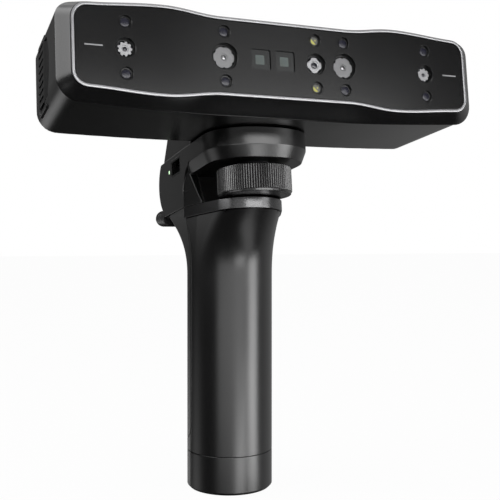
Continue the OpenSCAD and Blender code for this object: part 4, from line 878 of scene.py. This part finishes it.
# Handle: clamp wheel and lever
def make_wheel():
    """The clamp wheel: rounded ridges all round, a soft top edge, a plain lip below and a hollow underside."""
    r, depth, ridges, per = 16.4, 0.5, 96, 6
    steps = ridges * per

    def ridged(shrink, z, share=1.0):
        points = []
        for i in range(steps):
            a = 2 * pi * i / steps
            wave = (1 - cos(2 * pi * i / per)) / 2
            radius = r - shrink - depth * share * wave ** 1.5
            points.append((radius * cos(a), radius * sin(a), z))
        return points

    def plain(radius, z):
        return ring_xy(circle(radius, steps), z)

    top = [plain(5.55, -14.3), plain(15.4, -14.3), plain(15.8, -14.4)]
    grip = [ridged(0.15, -14.65, 0.6), ridged(0.0, -14.9), ridged(0.0, -25.0), ridged(0.12, -25.25, 0.6)]
    lip = [plain(16.0, -25.35), plain(15.9, -25.45), plain(15.9, -26.1), plain(15.7, -26.3)]
    hollow = [plain(13.9, -26.3), plain(13.6, -26.15), plain(13.6, -16.8), plain(5.55, -16.8)]
    wheel = skin("knurled_wheel", top + grip + lip + hollow, loop=True)
    settle(wheel, SEAT, "clamp_wheel", "wheel", WHEEL_BLACK, "clamp_wheel", angle=28)


def make_lever():
    """The thumb lever: a wide bar with half-round ends and two grooves round it, on a tongue."""
    front, end, half, r, mid = 34.4, 48.99, 22.9, 4.1, 126.7
    dome, grooves = 2, (38.8, 42.4)

    def pill(inset, y):
        right = arc(half - r, mid, r - inset, -90, 90, 20)
        left = arc(r - half, mid, r - inset, 90, 270, 20)
        return ring_xz(right + left, y)

    rings = [pill(0.35, front), pill(0.1, front + 0.1), pill(0, front + 0.35)]
    for y in grooves:
        rings += [pill(inset, y + on) for inset, on in ((0, 0), (0.35, 0.1), (0.35, 0.7), (0, 0.8))]
    for a in (radians(turn) for turn in range(0, 91, 15)):
        rings.append(pill(dome - dome * cos(a), end - dome + dome * sin(a)))
    bar = skin("lever_bar", rings)
    carve(bar, block("tongue", (-9, 17.9, 124.5), (9, 36, 129.5)), how="UNION")
    pin = rod("pin", 1.55, -30, 30, 32)
    pin.data.transform(Matrix.Translation((0, 22.847, 127)) @ Matrix.Rotation(radians(90), 4, "Y"))
    carve(bar, pin)
    settle(bar, BASE, "thumb_lever", "lever", LEVER_BLACK, "thumb_lever", angle=35)


def make_status():
    """The status light: the domed end of a light pipe."""
    profile = [(0.9, 4.9), (0.9, 0.18), (0.8, 0.06), (0.5, 0.0), (0, -0.02)]
    rings = [[(depth - NOSE_WIDE, y, z) for y, z in circle(r, 32, 51.2, -6.4)] for r, depth in profile]
    settle(skin("status_dome", rings), SEAT, "scanner", "status", STATUS, "status_light")


make_panel()
make_marks()
make_rim()
make_cover()
for side, place in ((-1, "_left"), (1, "_right")):
    for make in (make_barrel, make_lens):
        make("outer", side * OUTER_X, place)
        make("inner", side * INNER_X, place)
    make_grille(side, place)
make_barrel("colour", COLOUR_X)
make_lens("colour", COLOUR_X)
make_lamps()
make_flash()
make_windows()
make_housing()
make_top_housing()
make_pad()
dress("rear_box", "rear_block", 0.8, 3, "handle", HANDLE_BLACK)
dress("bright_band", "neck_band", 0.22, 2, "band", BAND_GREY)
make_grip()
make_base()
make_wheel()
make_lever()
dress("recess_frame", "port_bezel", 0.15, 2, "grille", GRILLE_BLACK)
dress("socket_shell", "usb_socket", 0.25, 2, "socket", STEEL)
make_status()

# Finishes of the CAD nodes that stay
FINISHES = {
    FRAME_GREY: ["optics_frame"],
    BLACK_BOARD: ["lamp_boards"],
    CUP_BLACK: ["projector_left", "projector_right", "lever_switch", "fan_frame", "fan_rotor"],
    GREEN_BOARD: ["camera_boards", "main_board", "radio_board", "charge_board"],
    STEEL: ["board_screws", "base_screws", "sleeve_clip", "clamp_screw",
            "lever_pin", "lever_bracket", "lever_spring"],
    OXIDE: ["wheel_sleeve", "thrust_washer"],
    ALUMINIUM: ["heat_sink"],
    BRASS: ["head_bush", "base_bush"],
    CELL_WRAP: ["battery_cell"],
    CRADLE_BLACK: ["battery_cradle"],
    NICKEL: ["battery_contacts"],
    WHEEL_BLACK: ["wheel_cap"],
}
for paint, nodes in FINISHES.items():
    for node in nodes:
        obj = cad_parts[node]
        if not obj.material_slots:
            obj.data.materials.append(paint.material)
        for slot in obj.material_slots:
            slot.material = paint.material


# Stage, light and camera
# Patches that only glossy rays see: bearing, rise, radii of the full and of the fading part in degrees, and level
PATCHES = (
    (-166, -15, 2, 10, 1.0),
    (-122, -27, 8, 23, 0.6),
    (144, -13, 6, 24, 0.14),
    (-168, 6, 8, 22, 0.1),
    (104, -5, 15, 50, 0.34),
)
# What glossy rays see elsewhere: a dim level up to one rise in degrees, and white from another.
# All rays that are neither glossy nor seen by the camera get the fill.
DIM, DIM_TO, WHITE_FROM, FILL = 0.03, 32, 50, 0.35
# Soft boxes: bearing, rise, width and height in degrees, level, and for some the point they face and their distance
LIGHTS = (
    ("key_box", 44, -5, 25, 36, 4.6),
    ("front_box", -12, -6, 80, 30, 1.15),
    ("side_box", -38, 15, 36, 8, 0.7),
    ("upper_box", 8, 16.5, 50, 9, 6.5, (0, -0.03, 0.157)),
    ("low_box", 8, -24, 24, 10, 4.2, (0, -0.03, 0.152)),
    ("panel_box", 24, 26, 12, 7, 0.9, (0, -0.065, 0.18)),
    ("left_box", -95, 30.5, 60, 55, 2.1, (-0.09, -0.06, 0.185), 0.28),
    ("floor_box", 38, -58, 26, 44, 0.9, (0, -0.03, 0.12), 0.115),
    ("top_box", 0, 90, 50, 50, 1.0, (0, 0, 0.2)),
)


def direction(bearing, rise):
    """A direction from its bearing, in degrees from straight ahead towards the right, and its rise."""
    b, e = radians(bearing), radians(rise)
    return Vector((sin(b) * cos(e), -cos(b) * cos(e), sin(e)))


def directly_seen(nodes):
    """1 for rays that come from the camera or through glass, and 0 for all others."""
    camera = nodes.node("LightPath", out="Is Camera Ray")
    return camera.math("MAXIMUM", nodes.node("LightPath", out="Is Transmission Ray"))


def make_floor():
    """A pale floor that shows almost white to the camera and keeps a soft shadow. The object doesn't mirror it."""
    floor = add("floor", bpy.ops.mesh.primitive_plane_add, size=12)
    paint = Paint("floor_pale", (0.8, 0.8, 0.8), 0.9)
    seen = directly_seen(paint)
    white = Value(paint, paint.tree.nodes.new("ShaderNodeEmission").outputs[0])
    blend = paint.node("MixShader", None, {0: seen * 0.965, 1: Value(paint, paint.surface.outputs[0]), 2: white})
    paint.link(blend, paint.tree.nodes["Material Output"].inputs["Surface"])
    floor.data.materials.append(paint.material)
    floor.visible_glossy = False


def make_world():
    """White where the camera looks, and overhead for what the object mirrors. The rest that it mirrors is dim."""
    world = bpy.data.worlds.new("studio")
    world.use_nodes = True
    scene.world = world
    nodes = Nodes(world.node_tree)
    seen = directly_seen(nodes)
    glossy = nodes.node("LightPath", out="Is Glossy Ray")
    way = nodes.node("TexCoord", out="Generated")
    overhead = nodes.node("SeparateXYZ", None, {0: way}, 2).over(sin(radians(DIM_TO)), sin(radians(WHITE_FROM)))
    mirrored = DIM + overhead * (1 - DIM)
    for bearing, rise, full, faded, level in PATCHES:
        pair = {0: way, 1: direction(bearing, rise)}
        towards = nodes.node("VectorMath", {"operation": "DOT_PRODUCT"}, pair, "Value")
        mirrored = mirrored + towards.over(cos(radians(faded)), cos(radians(full))) * level
    level = seen + (1 - seen) * (mirrored * glossy + (1 - glossy) * FILL)
    nodes.link(level, world.node_tree.nodes["Background"].inputs["Color"])


def make_light(name, bearing, rise, wide, tall, level, aim=(0, 0, 0.12), distance=1.2):
    """A soft box of an even level, given by its bearing from straight ahead, its rise and its spread in degrees."""
    data = bpy.data.lights.new(name, "AREA")
    data.shape = "RECTANGLE"
    data.size, data.size_y = (2 * distance * tan(radians(spread / 2)) for spread in (wide, tall))
    data.energy = level * pi * data.size * data.size_y
    obj = bpy.data.objects.new(name, data)
    scene.collection.objects.link(obj)
    way = direction(bearing, rise)
    obj.location = Vector(aim) + distance * way
    obj.rotation_euler = (-way).to_track_quat("-Z", "Y").to_euler()
    obj.visible_camera = False


def make_camera():
    """The camera, as it was fitted to the photograph."""
    data = bpy.data.cameras.new("view")
    data.lens, data.sensor_width, data.clip_start = 59.93, 36.0, 0.01
    obj = bpy.data.objects.new("view", data)
    scene.collection.objects.link(obj)
    obj.location = Vector((-138.366, -369.164, 115.386)) * MM
    obj.rotation_euler = (pi / 2 + radians(-0.6415), 0, radians(-21.951))
    scene.camera = obj


make_floor()
make_world()
for light in LIGHTS:
    make_light(*light)
make_camera()
scene.view_settings.view_transform = "Standard"
